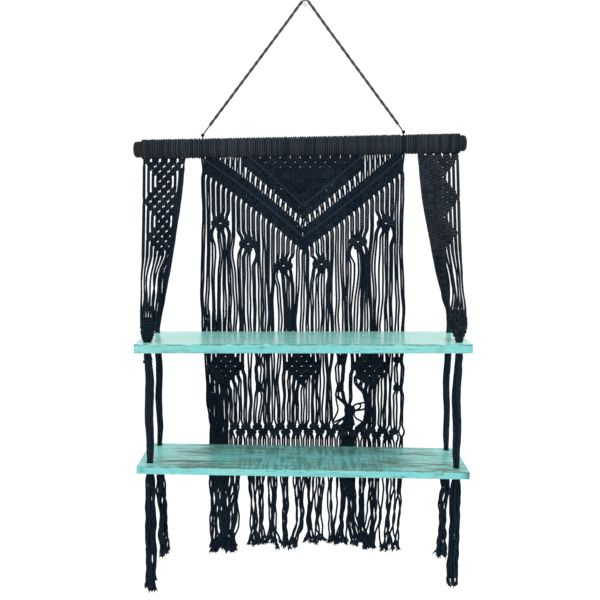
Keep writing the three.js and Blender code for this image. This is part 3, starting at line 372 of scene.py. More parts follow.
class Finish:
    """One material and its nodes."""

    def __init__(self, name):
        self.material = bpy.data.materials.new(name)
        self.material.use_nodes = True
        self.tree = self.material.node_tree
        self.tree.nodes.clear()

    def node(self, kind, settings=None, inputs=None, output=0):
        made = self.tree.nodes.new(kind)
        for key, value in (settings or {}).items():
            setattr(made, key, value)
        for key, value in (inputs or {}).items():
            if isinstance(value, Socket):
                self.tree.links.new(value.socket, made.inputs[key])
            else:
                made.inputs[key].default_value = value
        return Socket(self, made.outputs[output])

    def stored(self, name, output="Fac"):
        return self.node("ShaderNodeAttribute", {"attribute_name": name}, output=output)

    def spot(self):
        return self.node("ShaderNodeTexCoord", output="Object")

    def parts(self, vector):
        first = self.node("ShaderNodeSeparateXYZ", None, {0: vector})
        outputs = first.socket.node.outputs
        return [Socket(self, outputs[i]) for i in range(3)]

    def noise(self, vector, scale, detail=3.0, roughness=0.55):
        return self.node(
            "ShaderNodeTexNoise", None,
            {"Vector": vector, "Scale": scale, "Detail": detail, "Roughness": roughness})

    def noise_at(self, x, y, z, detail=3.0, roughness=0.55):
        place = self.node("ShaderNodeCombineXYZ", None, {0: x, 1: y, 2: z})
        return self.noise(place, 1.0, detail, roughness)

    def mix(self, share, first, second):
        """Colour between two, each of them a socket or three numbers."""
        first, second = (value if isinstance(value, Socket) else (*value, 1.0) for value in (first, second))
        return self.node("ShaderNodeMix", {"data_type": "RGBA"}, {0: share, 6: first, 7: second}, 2)

    def bump(self, height, strength, distance):
        return self.node(
            "ShaderNodeBump", None, {"Height": height, "Strength": strength, "Distance": distance})

    def shade(self, **inputs):
        names = {key.replace("_", " "): value for key, value in inputs.items()}
        surface = self.node("ShaderNodeBsdfPrincipled", None, names)
        end = self.tree.nodes.new("ShaderNodeOutputMaterial")
        self.tree.links.new(surface.socket, end.inputs["Surface"])
        return self.material


def cord_finish(name, shade, light, ply_length=0.013, sheen=0.02):
    """Twisted cotton: slanted plies with painted shade in their grooves and a painted highlight on their
    crests, small fibres and cords of uneven tone.
    """
    finish = Finish(name)
    along, turn, tone = (finish.stored(key) for key in ("along", "turn", "tone"))
    ply = ((turn * 3 + along / ply_length) * TURN).sine() * 0.5 + 0.5
    fibre = finish.noise(finish.spot(), 900.0, 4.0, 0.7)
    cloud = finish.noise(finish.spot(), 14.0, 2.0)
    # ply darkens the grooves between the plies (painted shade) and lightens their crests (painted highlight);
    # fibre, tone and cloud are the cord's own uneven colour
    share = ply * 0.34 + fibre * 0.3 + tone * 0.4 + cloud * 0.4 - 0.46
    colour = finish.mix(share.largest(0.0).smallest(1.0), shade, light)
    return finish.shade(
        Base_Color=colour, Roughness=0.95 - 0.15 * ply, Sheen_Weight=sheen, Sheen_Roughness=0.5,
        Specular_IOR_Level=0.05, Normal=finish.bump(ply * 0.7 + fibre * 0.5, 0.7, 0.0006))


def board_finish(colours):
    """Turquoise paint with worn grain, saw marks, rubbed edges and cracks, and a painted highlight on the
    tops.
    """
    finish = Finish("distressed_paint")
    # Place on a board in millimetres: across, from the front edge and down from the top
    x, depth, drop = finish.parts(finish.stored("board_place", "Vector"))
    # 0 on the upper board and 1 on the lower one
    kind = finish.stored("board_kind")
    shift = kind * 37.0
    # Noises, each drawn out along the grain, across it or evenly
    ripple = finish.noise_at(x * 0.02 + shift, depth * 0.03, drop * 0.05, 2.0, 0.5)
    bent = depth + (ripple - 0.5) * 20
    grain = finish.noise_at(x * 0.007 + shift, bent * 0.17, drop * 0.3, 6.0, 0.68)
    fine = finish.noise_at(x * 0.03 + shift, bent * 0.7, drop * 1.1, 5.0, 0.72)
    saw = finish.noise_at(x * 0.12 + shift, depth * 0.012, drop * 0.05, 3.0, 0.7)
    patch = finish.noise_at(x * 0.009 - shift, depth * 0.02, drop * 0.04, 3.0, 0.5)
    blot = finish.noise_at(x * 0.035 + shift, depth * 0.06, drop * 0.14, 4.0, 0.65)
    speck = finish.noise_at(x * 0.3 - shift, depth * 0.3, drop * 0.5, 3.0, 0.6)
    # Parts of a board
    on_top = 1 - drop.between(0.4, 1.6)
    on_side = 1 - on_top
    end = (x - BOARD_X).size()
    middle = 1 - (x - 10).size().between(90.0, 210.0) * 0.85
    outside = 0.5 + end.between(50.0, 150.0) * 0.5
    front_edge = (depth * depth + drop * drop).root()
    # Thin and pale paint in patches, and painted highlight: pale streaks on the top, the whole top and its
    # ends made paler
    painted_highlight_line = fine.between(0.53, 0.6) * on_top * (0.5 + kind * 0.3)
    thin_paint_and_highlight = (patch + blot * 0.5 - 0.3).between(0.3, 0.7) * 0.34 + painted_highlight_line
    # The whole top, and more so towards its ends, is made paler: painted highlight
    thin_paint_and_highlight = thin_paint_and_highlight + end.between(150.0, 330.0) * on_top * (0.5 - kind * 0.3) + on_top * (0.45 - kind * 0.4)
    # Saw marks and darker clouds
    sawn = (saw + (fine - 0.5) * 0.3).between(0.495, 0.54) * patch.between(0.3, 0.5) * middle
    cloudy = (grain * 0.5 + blot * 0.5).between(0.49, 0.6) * on_side * 0.4
    marks = (sawn * on_top * kind * 0.7).largest(cloudy)
    # Bare wood in streaks and at rubbed edges
    rubbed = 1 - (front_edge + (blot - 0.5) * 9).between(0.4, 2.0)
    streak = (grain * 0.7 + fine * 0.3 + (patch - 0.5) * 0.4).between(0.495, 0.55)
    worn = (streak * (0.12 + kind * on_top * outside * 0.75)).largest(rubbed * 0.9)
    # Stains on the front; the front is also darker at the lower board's right end and in patches along its
    # lower edge
    smudge = (saw * 0.35 + blot * 0.65).between(0.54, 0.66) * on_side * (0.22 + kind * 0.3)
    smudge = smudge.largest(x.between(276.0, 297.0) * kind * on_side * (0.35 + blot * 0.7))
    smudge = smudge.largest(speck.between(0.62, 0.68) * patch.between(0.48, 0.6) * on_side * 0.6)
    low_edge = drop.between(13.6, 15.0) * blot.between(0.42, 0.56) * (0.4 + kind * 0.6)
    crack = (grain * 0.5 + fine * 0.5).between(0.6, 0.64) * blot.between(0.45, 0.55)
    colour = finish.mix(thin_paint_and_highlight.smallest(1.0), colours.paint, colours.pale_paint_and_highlight)
    colour = finish.mix(marks, colour, colours.saw_mark)
    colour = finish.mix(worn, colour, colours.worn_wood)
    colour = finish.mix(smudge.largest(low_edge * 0.8), colour, colours.smudge)
    colour = finish.mix(crack * 0.75, colour, colours.crack)
    height = fine * 0.35 + saw * 0.25 - worn * 0.4 - crack * 0.8
    return finish.shade(
        Base_Color=colour, Roughness=0.2 + worn * 0.3 + blot * 0.1 + kind * 0.1,
        Normal=finish.bump(height, 0.3, 0.0006))


def dowel_finish(colours):
    """Dark stain with fine grain and rubbed ends."""
    finish = Finish("stained_dowel")
    x, y, z = finish.parts(finish.spot())
    grain = finish.noise_at(x * 25, y * 500, z * 500, 4.0)
    blot = finish.noise(finish.spot(), 60.0, 3.0)
    rubbed = (grain * 0.6 + blot * 0.5 - 0.3).between(0.1, 0.7)
    colour = finish.mix(rubbed, colours.dowel, [part * 2.6 for part in colours.dowel])
    return finish.shade(Base_Color=colour, Roughness=0.6 + grain * 0.25, Specular_IOR_Level=0.2,
                        Normal=finish.bump(grain, 0.3, 0.0003))


def steel_finish(colours):
    """Zinc-plated nail with small scratches."""
    finish = Finish("nail_steel")
    scratch = finish.noise(finish.spot(), 1800.0, 3.0)
    colour = finish.mix(scratch, [part * 0.7 for part in colours.steel], colours.steel)
    return finish.shade(Base_Color=colour, Metallic=0.85, Roughness=0.28 + scratch * 0.2,
                        Normal=finish.bump(scratch, 0.2, 0.0002))


FINISHES = {}


def finish_named(context, name):
    """The material of that name, made the first time it is asked for."""
    colours = context.scene.shelf_colours
    if name not in FINISHES:
        FINISHES[name] = {
            "cord": lambda: cord_finish("cotton_cord", colours.cord_shade, colours.cord_light),
            # grey: painted light, the lighter fibres of the lit headings and right side panel
            "grey": lambda: cord_finish("lit_grey_cord", colours.cord_shade, colours.cord_lit_grey),
            "rope": lambda: cord_finish("grey_rope", colours.rope_shade, colours.rope_light, 0.009, 0.2),
            "board": lambda: board_finish(colours),
            "dowel": lambda: dowel_finish(colours),
            "steel": lambda: steel_finish(colours),
        }[name]()
    return FINISHES[name]


def smooth_share(share):
    """A share from 0 to 1 made level at both ends."""
    return share * share * (3 - 2 * share)


class Twine:
    """Tubes of cord gathered into one mesh, which stores the way along and round each of them."""

    def __init__(self, seed):
        self.random = np.random.default_rng(seed)
        self.points, self.corners, self.lengths = [], [], []
        self.along, self.turn, self.tone = [], [], []
        self.count = 0

    def add(self, path, radius, sides=6, ref=(0, 1, 0), closed=False, tone=None, start=0.0, lobes=None):
        path = np.asarray(path, float)
        n = len(path)
        if closed:
            tangent = np.roll(path, -1, 0) - np.roll(path, 1, 0)
            lengths = np.linalg.norm(np.roll(path, -1, 0) - path, axis=1)
        else:
            tangent = np.gradient(path, axis=0)
            lengths = np.linalg.norm(np.diff(path, axis=0), axis=1)
        tangent /= np.linalg.norm(tangent, axis=1)[:, None]
        ref = np.broadcast_to(np.asarray(ref, float), (n, 3))
        normal = ref - (ref * tangent).sum(1)[:, None] * tangent
        normal /= np.linalg.norm(normal, axis=1)[:, None]
        side = np.cross(tangent, normal)
        angle = TURN * np.arange(sides) / sides
        reach = np.broadcast_to(np.asarray(radius, float), (n,))[:, None] * np.ones(sides)
        if lobes is not None:
            reach = reach * lobes(np.concatenate([[0], np.cumsum(lengths)])[:n, None], angle[None, :])
        ring = (path[:, None] + (reach * np.cos(angle))[..., None] * normal[:, None]
                + (reach * np.sin(angle))[..., None] * side[:, None])
        rows = np.arange(n if closed else n - 1)
        here, there = rows * sides, ((rows + 1) % n) * sides
        k = np.arange(sides)
        following = (k + 1) % sides
        quads = np.stack([here[:, None] + k, here[:, None] + following, there[:, None] + following,
                          there[:, None] + k], -1).reshape(-1, 4) + self.count
        way = np.concatenate([[0], np.cumsum(lengths)]) + start
        near, far = way[rows], way[rows + 1]
        along = np.broadcast_to(np.stack([near, near, far, far], -1)[:, None], (len(rows), sides, 4))
        turn = np.broadcast_to(np.stack([k, k + 1, k + 1, k], -1) / sides, (len(rows), sides, 4))
        self.points.append(ring.reshape(-1, 3))
        self.corners.append(quads.ravel())
        self.lengths.append(np.full(len(quads), 4))
        self.along.append(along.ravel())
        self.turn.append(turn.ravel())
        total = quads.size
        if not closed:
            last = self.count + (n - 1) * sides
            self.corners += [self.count + k[::-1], last + k]
            self.lengths.append(np.array([sides, sides]))
            self.along += [np.full(sides, way[0]), np.full(sides, way[-1])]
            self.turn += [k[::-1] / sides, k / sides]
            total += 2 * sides
        self.tone.append(np.full(total, self.random.random() if tone is None else tone))
        self.count += n * sides

    def mesh(self, name):
        made = bpy.data.meshes.new(name)
        points = np.concatenate(self.points) * MM
        corners = np.concatenate(self.corners).astype(np.int32)
        lengths = np.concatenate(self.lengths)
        made.vertices.add(len(points))
        made.vertices.foreach_set("co", points.ravel())
        made.loops.add(len(corners))
        made.loops.foreach_set("vertex_index", corners)
        made.polygons.add(len(lengths))
        made.polygons.foreach_set("loop_start", (np.cumsum(lengths) - lengths).astype(np.int32))
        made.update(calc_edges=True)
        for key, values, scale in (("along", self.along, MM), ("turn", self.turn, 1), ("tone", self.tone, 1)):
            stored = made.attributes.new(key, "FLOAT", "CORNER")
            stored.data.foreach_set("value", np.concatenate(values) * scale)
        made.shade_smooth()
        return made


def eased(levels, keys):
    """Values at those levels, from falling (level, value) keys with level ends at each key."""
    at_level, value = np.array(keys, float).T
    at = np.clip(np.searchsorted(-at_level, -levels, side="right") - 1, 0, len(value) - 2)
    share = smooth_share(np.clip((at_level[at] - levels) / (at_level[at] - at_level[at + 1]), 0, 1))
    return value[at] * (1 - share) + value[at + 1] * share


def below(level, reach, levels):
    """0 above a level, 1 from that reach under it, and even between them."""
    return np.clip((level - levels) / reach, 0, 1)


def down_steps(top, bottom, step):
    """Even levels from top to bottom, about one step apart."""
    return np.linspace(top, bottom, round((top - bottom) / step))


def angles(count):
    """That many even steps of one turn."""
    return TURN * np.arange(count) / count


def level_ring(x, y, z, reach, count, lift, flat=1.0):
    """A closed ring round an upright line. lift gives each angle's rise."""
    return [(x + reach * math.cos(a), y + flat * reach * math.sin(a), z + lift(a)) for a in angles(count)]


def pair_x(pair):
    """Place across of a pair of the back panel's cords, counted from the left."""
    return BACK_X + (pair - (BACK_PAIRS - 1) / 2) * PAIR_STEP


def gathered(pair, centre, count):
    """Place of a pair in the group of that many pairs nearest to a centre, counted from its middle."""
    first = round((centre - BACK_X) / PAIR_STEP + (BACK_PAIRS - 1) / 2 - (count - 1) / 2)
    return pair - first - (count - 1) / 2 if first <= pair < first + count else None


def straight(levels, keys):
    """Values at those levels, from falling (level, value) keys joined by straight lines."""
    at_level, value = np.array(keys, float).T
    return np.interp(-np.asarray(levels, float), -at_level, value)


def waver(random, levels, size, lengths=(130, 62, 31)):
    """A slow uneven wave of about that size."""
    total = np.zeros(len(levels))
    for length in lengths:
        own = length * random.uniform(0.8, 1.25)
        total += length ** 0.7 * np.sin(TURN * levels / own + random.uniform(0, TURN))
    return size * total / sum(length ** 0.7 for length in lengths)


def smooth_line(points, step):
    """Points about one step apart on a Catmull-Rom curve through the given ones."""
    points = np.asarray(points, float)
    whole = np.vstack([2 * points[0] - points[1], points, 2 * points[-1] - points[-2]])
    made = []
    for a, b, c, d in zip(whole, whole[1:], whole[2:], whole[3:]):
        pieces = max(1, round(np.linalg.norm(c - b) / step))
        for t in np.arange(pieces) / pieces:
            made.append(0.5 * (2 * b + (c - a) * t + (2 * a - 5 * b + 4 * c - d) * t * t
                               + (3 * b - a - 3 * c + d) * t ** 3))
    return np.array([*made, points[-1]])


def dowel_axis(x):
    """Height of the dowel's axis."""
    return DOWEL_Z + (x - DOWEL_X) * DOWEL_RISE


def cloth_top(x):
    """Height at which cloth leaves the wraps."""
    return dowel_axis(x) - WRAP_CREST - GAP


def back_depth(z):
    """Depth of the back panel at a height."""
    share = np.clip((z - BACK_REST_Z) / (cloth_top(0) - BACK_REST_Z), 0, 1)
    return BACK_REST_Y + (DOWEL_Y - BACK_REST_Y) * share


def chevron(lower, x):
    """Height of a chevron's line: 0 is the upper one and 1 the lower one."""
    point, *arms = CHEVRONS[lower]
    slope, bend = arms[x > CHEVRON_X]
    away = abs(x - CHEVRON_X)
    return point + slope * away + bend * away * away


def row_dip(x):
    """How far the knotted row hangs lower at a place."""
    return max(0.0, x - DIP_FROM) * DIP_SLOPE


def board_top(lower, x):
    """Height of a board's top, which drops to the right on the lower one."""
    return LOWER_TOP - (x - BOARD_X) * LOWER_DROP if lower else UPPER_TOP


def square_knot(twine, place, width, height, flip=1, tone=None, deep=2.5, core=0.8, taper=0.38):
    """Two slanted turns round the middle cords, the loops that join them and the middle cords.
    place turns steps across, out of the cloth and up into a point."""
    thick = 0.27 * height
    half = 0.5 * width - thick
    up = place(0, 0, 1) - place(0, 0, 0)
    out_of_cloth = place(0, 1, 0) - place(0, 0, 0)
    tone = twine.random.uniform(0.15, 0.9) if tone is None else tone
    for rise, tilt in KNOT_TURNS:
        ring = [place(half * math.cos(a), deep * math.sin(a),
                      rise * height * (1 - taper * math.cos(a) ** 2) + tilt * flip * math.sin(2 * a))
                for a in angles(10)]
        twine.add(ring, thick, 6, up, closed=True, tone=tone)
    # The joining loops stand out of the cloth and get a lighter tone: painted highlight
    for face in (1, -1):
        loop = [place(flip * face * share * half, face * (deep + out), rise * height)
                for share, out, rise in KNOT_LOOP]
        twine.add(loop, thick * 0.72, 5, out_of_cloth, tone=min(1.0, tone + 0.2))
    # The middle cords, sunk between the turns, get half the tone: painted shade
    if core:
        middle = [place(0, 0, core * share * height) for share in (-1, -0.6, 0.6, 1)]
        narrow = 0.15 * width
        twine.add(middle, [narrow * 0.6, narrow, narrow, narrow * 0.6], 8, out_of_cloth, tone=tone * 0.5)


def on_back_panel(x, z):
    """Gives the points about a place on the back panel, a little in front of its cords."""
    def place(across, out, up):
        level = z + up
        return np.array([x + across, float(back_depth(level)) - 1.6 - out, level])
    return place


def on_side_panel(side, across, out, z):
    """The place on a side panel: share across from the outer edge, steps out of the cloth."""
    levels, *edges = np.array(SIDE_EDGES[side], float).T
    outer_x, outer_y, inner_x, inner_y = (np.interp(-z, -levels, edge) for edge in edges)
    outer = np.array([outer_x, outer_y])
    run = np.array([inner_x, inner_y]) - outer
    along = run / np.linalg.norm(run)
    facing = np.array([-along[1], along[0]]) * SIDE_LOOKS[side]["sign"]
    x, y = outer + run * across + facing * out
    return np.array([x, y, float(z)])


def dress(context, name, mesh, finish, node):
    """Puts a mesh in the scene in place of a CAD node, with its finish."""
    piece = bpy.data.objects.new(name, mesh)
    context.scene.collection.objects.link(piece)
    mesh.materials.clear()
    mesh.materials.append(finish_named(context, finish))
    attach(piece, "root")
    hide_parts(node)
    return piece


def dress_twine(context, twine, name, node, finish="cord"):
    """Makes a twine's mesh and puts it in the scene in place of a CAD node."""
    return dress(context, name, twine.mesh(name), finish, node)


def tangle_keys(x):
    """Keys of the cords that run into the tangled knot or slant past it, or none."""
    at_x, at_z = TANGLE
    into = [(at_z + 8, at_x - 4 + (x - 77) * 0.25), (at_z - 8, at_x - 1 + (x - 77) * 0.4),
            (-800, at_x - 1 + (x - 77) * 0.66)]
    if 59 < x < 74:
        return into
    # Cords of the pair over the tangle, drawn to its left past the gap
    if 74 < x < 86:
        near = (x - 85) * 0.3
        return [(-640, x), (-694, 77 + (x - 85) * 0.4), (-722, 74 + near), (-746, 76 + near), *into]
    # The cord that drops straight into the knot
    if 86 < x < 92:
        return [(-700, x), (-745, x + 0.5), *into]
    # Cords that slant past on the right
    if 92 < x < 126:
        share = (x - 92) / 34
        return [(-704, 95 + 14 * share), (-740, 113 + 13 * share), (-760, 118 + 10 * share),
                (-790, 114 + 14 * share)]
    return []


def upper_keys(middle, side):
    """Keys of a cord from the dowel to just under the lower chevron."""
    outward = -1 if middle < CHEVRON_X else 1
    x = middle + side * WITHIN_PAIR
    foot = chevron(1, middle) - BAND_BELOW
    head = chevron(1, middle) + BAND_ABOVE
    keys = [(cloth_top(x) + 6, middle + side * 2.2)]
    under_knots = abs(middle - CHEVRON_X) < CHEVRON_REACH[0]
    upper = chevron(0, middle) - BAND_BELOW if under_knots else cloth_top(x)
    if upper - 6 > head:
        lean = outward * (0.8 + 1.4 * (upper < cloth_top(x) - 2))
        keys += [(upper, middle - lean + side * 2.3), ((upper + head) / 2, middle + side * 1.85),
                 (head, middle + lean * 0.4 + side * 2.3)]
    return keys + [(foot + 4, middle - outward * 2.6 + side * 2.1), (foot - 11, x), (foot - 24, x)]


def knotted_keys(pair, x, side):
    """Keys of a cord where the diamonds and the single knots draw its pair in."""
    keys = []
    for cx, cz, parted in SMALL_DIAMONDS:
        order = gathered(pair, cx, 4)
        if order is None:
            continue
        way = math.copysign(1, order)
        if abs(order) < 1:
            held = [(cz + up, cx + way * out + side * lean) for up, out, lean in SMALL_INSIDE]
            keys += [(cz + 26, x), *held, (cz - 27, x)]
        else:
            held = [(cz + up, cx + way * out + side * lean) for up, out, lean in SMALL_BESIDE]
            keys += [(cz + 24, x), *held, (cz - 21, cx + way * parted + side * 1.7), (cz - 44, x)]
    for cx, cz, _ in LARGE_DIAMONDS:
        order = gathered(pair, cx, 8)
        if order is not None:
            half = LARGE_ROW * (4 - abs(order)) + 2
            inside = cx + order * PAIR_STEP + side * 1.7
            keys += [(cz + 48, x), (cz + half, inside), (cz - half, inside), (cz - half - 14, x)]
    for cx, cz in SINGLE_KNOTS:
        order = gathered(pair, cx, 2)
        if order is not None:
            apart = cx + order * PAIR_STEP + side * WITHIN_PAIR
            tight = cx + order * 6.4 + side * 1.4
            keys += [(cz + 16, apart), (cz + 3, tight), (cz - 3, tight), (cz - 16, apart + order * 2.4)]
    return keys


def cord_size(context):
    """Radius of one cord in millimetres."""
    return context.scene.shelf_sizes.cord_radius / MM


def new_twine(context, step):
    """An empty twine with random bends of its own."""
    return Twine(context.scene.shelf_sizes.seed + step)


def frayed_end(twine, path, cord, tone, hairs):
    """A brushed cord end: a short flare and loose fibres, none of them behind the wall's face."""
    random = twine.random
    tip = path[-1]
    direction = (tip - path[-3]) / np.linalg.norm(tip - path[-3])
    twine.add([tip + direction * way for way in (-7, -1, 3, 6)],
              [cord * 0.95, cord * 1.3, cord * 1.7, cord * 0.9], 6, tone=tone)
    for _ in range(hairs):
        spread = random.normal(0, 1.1, 3) * np.array([1, 0.7, 0.3])
        middle = tip + direction * 3.5 + spread * 1.5
        end = tip + direction * random.uniform(5, 10) + spread * 2.6
        middle[1], end[1] = min(middle[1], -1.4), min(end[1], -0.9)
        twine.add([tip + spread * 0.5, middle, end], [cord * 0.6, 1.25, 0.6], 4, tone=tone)


def edge_shift(x, levels):
    """How far the cords at the two edges of the back panel stray from their straight lines."""
    if x > 0:
        return max(0.0, x - 150) * straight(levels, ((-460, 0), (-560, 0.17), (-840, 0.17)))
    lean = ((-400, 0), (-560, -0.14), (-612, -0.14), (-655, 0), (-800, 0.19), (-840, 0.19))
    return max(0.0, -150 - x) * straight(levels, lean)


def back_keys(pair, side):
    """Heights and places across of one cord of the back panel, from the dowel to the foot."""
    middle = pair_x(pair)
    x = middle + side * WITHIN_PAIR
    at_tangle = tangle_keys(x)
    keys = upper_keys(middle, side) + knotted_keys(pair, x, side) + at_tangle
    dip = row_dip(x)
    if x > ROW_FROM - ROW_STEP / 2:
        for level, offset in ((ROW_UPPER, 0), (ROW_LOWER, ROW_STEP / 2)):
            centre = ROW_FROM + offset + ROW_STEP * round((x - ROW_FROM - offset) / ROW_STEP)
            keys.append((level - dip, centre + (x - centre) * 0.6))
        if not at_tangle:
            keys.append((ROW_UPPER - dip + 13, x))
    keys.append((ROW_FOOT - dip, x))
    return sorted(keys, key=lambda key: -key[0])


def bunched(across, levels):
    """Draws cords together at the bunches."""
    moved = across.copy()
    for x, z, reach, pull, length in BUNCHES:
        near = np.clip(1 - np.abs(across - x) / (2 * reach), 0, 1) * 2
        near = np.clip(near, 0, 1) * np.exp(-((levels - z) / length) ** 2)
        moved += (x - across) * pull * near
    return moved


def hitch_rows(twine, lower, cord):
    """Ridge cord and rows of half hitches along a chevron."""
    reach = CHEVRON_REACH[lower]
    count = round(reach * 1.27 / (cord * 2.05))
    for side in (-1, 1):
        xs = CHEVRON_X + side * np.linspace(0, reach, 64)
        zs = np.array([chevron(lower, x) for x in xs])
        path = np.stack([xs, back_depth(zs) - 5.4, zs], -1)
        path[0, 2] -= 1.5
        # The ridge cord stands in front of the hitches and gets the lightest tone: painted highlight
        twine.add(path, cord * 1.3, 8, tone=1.0)
        for number, drop in enumerate(CHEVRON_ROWS[lower]):
            for i in range(count):
                x = CHEVRON_X + side * (i + 0.5 + 0.5 * (number % 2)) * reach / count
                z = chevron(lower, x) + drop
                if z > cloth_top(x) - 1:
                    continue
                slope = (chevron(lower, x + 1) - chevron(lower, x - 1)) / 2
                run = np.array([1, 0, slope]) / math.hypot(1, slope)
                lean = np.array([-slope, 0, 1]) / math.hypot(1, slope)
                centre = np.array([x, float(back_depth(z)) - 0.4, z])
                centre += run * twine.random.uniform(-0.5, 0.5)
                tall, deep = lean * HITCH_HIGH + run * 1.5 * side, np.array([0, HITCH_DEEP, 0])
                ring = [centre + tall * math.cos(a) + deep * math.sin(a) for a in angles(9)]
                twine.add(ring, cord * 1.12, 5, run, closed=True, tone=twine.random.uniform(0.1, 0.9))


def extra_starts():
    """Places across of the extra cords that reach the foot of the back panel."""
    return [low + (i + 0.5) / count * (high - low) for low, high, _, bottom, count in THICK
            if bottom == ROW_FOOT for i in range(count)]


class StageOperator(Operator):
    """Set the camera, the lights, the plain floor and the white world"""
    bl_idname = "shelf.set_stage"
    bl_label = "Stage"

    def execute(self, context):
        scene = context.scene
        scene.view_settings.view_transform = "Standard"
        self.set_camera(scene)
        self.set_lights(scene)
        self.lay_floor(scene)
        return {"FINISHED"}

    def set_camera(self, scene):
        camera = bpy.data.cameras.new("camera")
        camera.sensor_width = CAMERA_SENSOR
        camera.lens = CAMERA_LENS
        camera.clip_end = CAMERA_REACH
        eye = bpy.data.objects.new("camera", camera)
        eye.location = CAMERA_PLACE
        eye.rotation_euler = (math.radians(90 - CAMERA_DOWN), 0, 0)
        scene.collection.objects.link(eye)
        scene.camera = eye

    def set_lights(self, scene):
        world = bpy.data.worlds.new("white_room")
        world.use_nodes = True
        background = world.node_tree.nodes["Background"]
        background.inputs["Color"].default_value = (1, 1, 1, 1)
        background.inputs["Strength"].default_value = WORLD_LIGHT
        scene.world = world
        for name, place, size, energy in LIGHTS:
            light = bpy.data.lights.new(name, "AREA")
            light.size = size
            light.energy = energy
            lamp = bpy.data.objects.new(name, light)
            lamp.location = place
            aim = Vector(LIGHT_AIM) - Vector(place)
            lamp.rotation_euler = aim.to_track_quat("-Z", "Y").to_euler()
            scene.collection.objects.link(lamp)

    def lay_floor(self, scene):
        mesh = bpy.data.meshes.new("floor")
        corners = [(x * FLOOR_REACH, y * FLOOR_REACH, FLOOR_LEVEL)
                   for x, y in ((-1, -1), (1, -1), (1, 1), (-1, 1))]
        mesh.from_pydata(corners, [], [(0, 1, 2, 3)])
        colour = (*scene.shelf_colours.floor, 1.0)
        mesh.materials.append(Finish("pale_floor").shade(Base_Color=colour, Roughness=0.9))
        floor = bpy.data.objects.new("floor", mesh)
        scene.collection.objects.link(floor)


class RopeOperator(Operator):
    """Hang the two-ply rope over the nail"""
    bl_idname = "shelf.hang_rope"
    bl_label = "Hanging rope"

    def execute(self, context):
        size = context.scene.shelf_sizes.rope_diameter
        path = smooth_line(ROPE_ROUTE, 1.6)
        twine = new_twine(context, 1)

        def two_plies(way, angle):
            turned = angle + way * math.pi / 15.3
            return 0.7 + 0.3 * np.abs(np.cos(turned)) ** 1.2

        twine.add(path, size / MM / 2, 18, tone=0.5, lobes=two_plies)
        piece = dress_twine(context, twine, "rope_plies", "hanging_rope", "rope")
        points = [tuple(point * MM) for point in path]
        length = sum(math.dist(a, b) for a, b in zip(points, points[1:]))
        return {"FINISHED"}


class TieOperator(Operator):
    """Knot the thin ties that join the rope to the wrapped dowel"""
    bl_idname = "shelf.tie_rope"
    bl_label = "Rope ties"

    def execute(self, context):
        for step, (side, knot) in enumerate(TIE_KNOTS.items()):
            twine = new_twine(context, 10 + step)
            knot = np.array(knot)
            axis = np.array([knot[0], DOWEL_Y, dowel_axis(knot[0])])
            ring = [axis + 18.3 * np.array([0.012 * math.sin(3 * a), math.sin(a), math.cos(a)])
                    for a in angles(40)]
            twine.add(ring, 0.95, 8, (1, 0, 0), closed=True, tone=0.3)
            self.knot(twine, knot)
            end = np.array(ROPE_ROUTE[0 if side == "left" else -1])
            way = (end - knot) / np.linalg.norm(end - knot)
            foot = axis + np.array([0, 0, 18.0])
            twine.add(smooth_line([foot, knot - (0, 0, 1.2), knot + way * 2.5, end - way * 0.4], 1.5),
                      1.15, 8, tone=0.3)
            dress_twine(context, twine, f"rope_tie_{side}_knot", f"rope_tie_{side}")
        return {"FINISHED"}

    def knot(self, twine, knot):
        for turn in range(4):
            lean = np.array([math.cos(turn * 0.8), math.sin(turn * 0.8), 0.7 * (-1) ** turn])
            lean /= np.linalg.norm(lean)
            out = np.cross(lean, (0.3, 0.2, 1.0))
            out /= np.linalg.norm(out)
            third = np.cross(lean, out)
            loop = [knot + 2.3 * (out * math.cos(a) + third * math.sin(a)) for a in angles(12)]
            twine.add(loop, 1.15, 6, lean, closed=True, tone=0.35)


def turned(profile, sides, matrix):
    """A body turned from (radius, way) pairs about its own Z axis, then moved."""
    mesh = bpy.data.meshes.new("turned")
    form = bmesh.new()
    rings = [[form.verts.new(matrix @ Vector((radius * math.cos(TURN * k / sides),
                                              radius * math.sin(TURN * k / sides), way)) * MM)
              for k in range(sides)] for radius, way in profile]
    for low, high in zip(rings, rings[1:]):
        for k in range(sides):
            form.faces.new((low[k], low[(k + 1) % sides], high[(k + 1) % sides], high[k]))
    form.faces.new(rings[0][::-1])
    form.faces.new(rings[-1])
    bmesh.ops.recalc_face_normals(form, faces=form.faces)
    form.to_mesh(mesh)
    form.free()
    mesh.shade_smooth()
    return mesh


class NailOperator(Operator):
    """Drive the nail that the rope hangs on"""
    bl_idname = "shelf.drive_nail"
    bl_label = "Wall nail"

    def execute(self, context):
        out = Matrix.Rotation(math.radians(90), 4, "X")
        dress(context, "nail", turned(NAIL_PROFILE, 32, out), "steel", "wall_nail")
        return {"FINISHED"}


class DowelOperator(Operator):
    """Turn the dark dowel with its rounded ends"""
    bl_idname = "shelf.turn_dowel"
    bl_label = "Dowel"

    def execute(self, context):
        sizes = context.scene.shelf_sizes
        radius, half = sizes.dowel_radius / MM, sizes.dowel_length / MM / 2
        profile = [(radius * share, way - half) for share, way in DOWEL_END]
        profile += [(reach, -way) for reach, way in reversed(profile)]
        place = (Matrix.Translation((DOWEL_X, DOWEL_Y, DOWEL_Z))
                 @ Matrix.Rotation(-math.atan(DOWEL_RISE), 4, "Y") @ Matrix.Rotation(math.pi / 2, 4, "Y"))
        dress(context, "dowel_rod", turned(profile, 48, place), "dowel", "dowel")
        return {"FINISHED"}


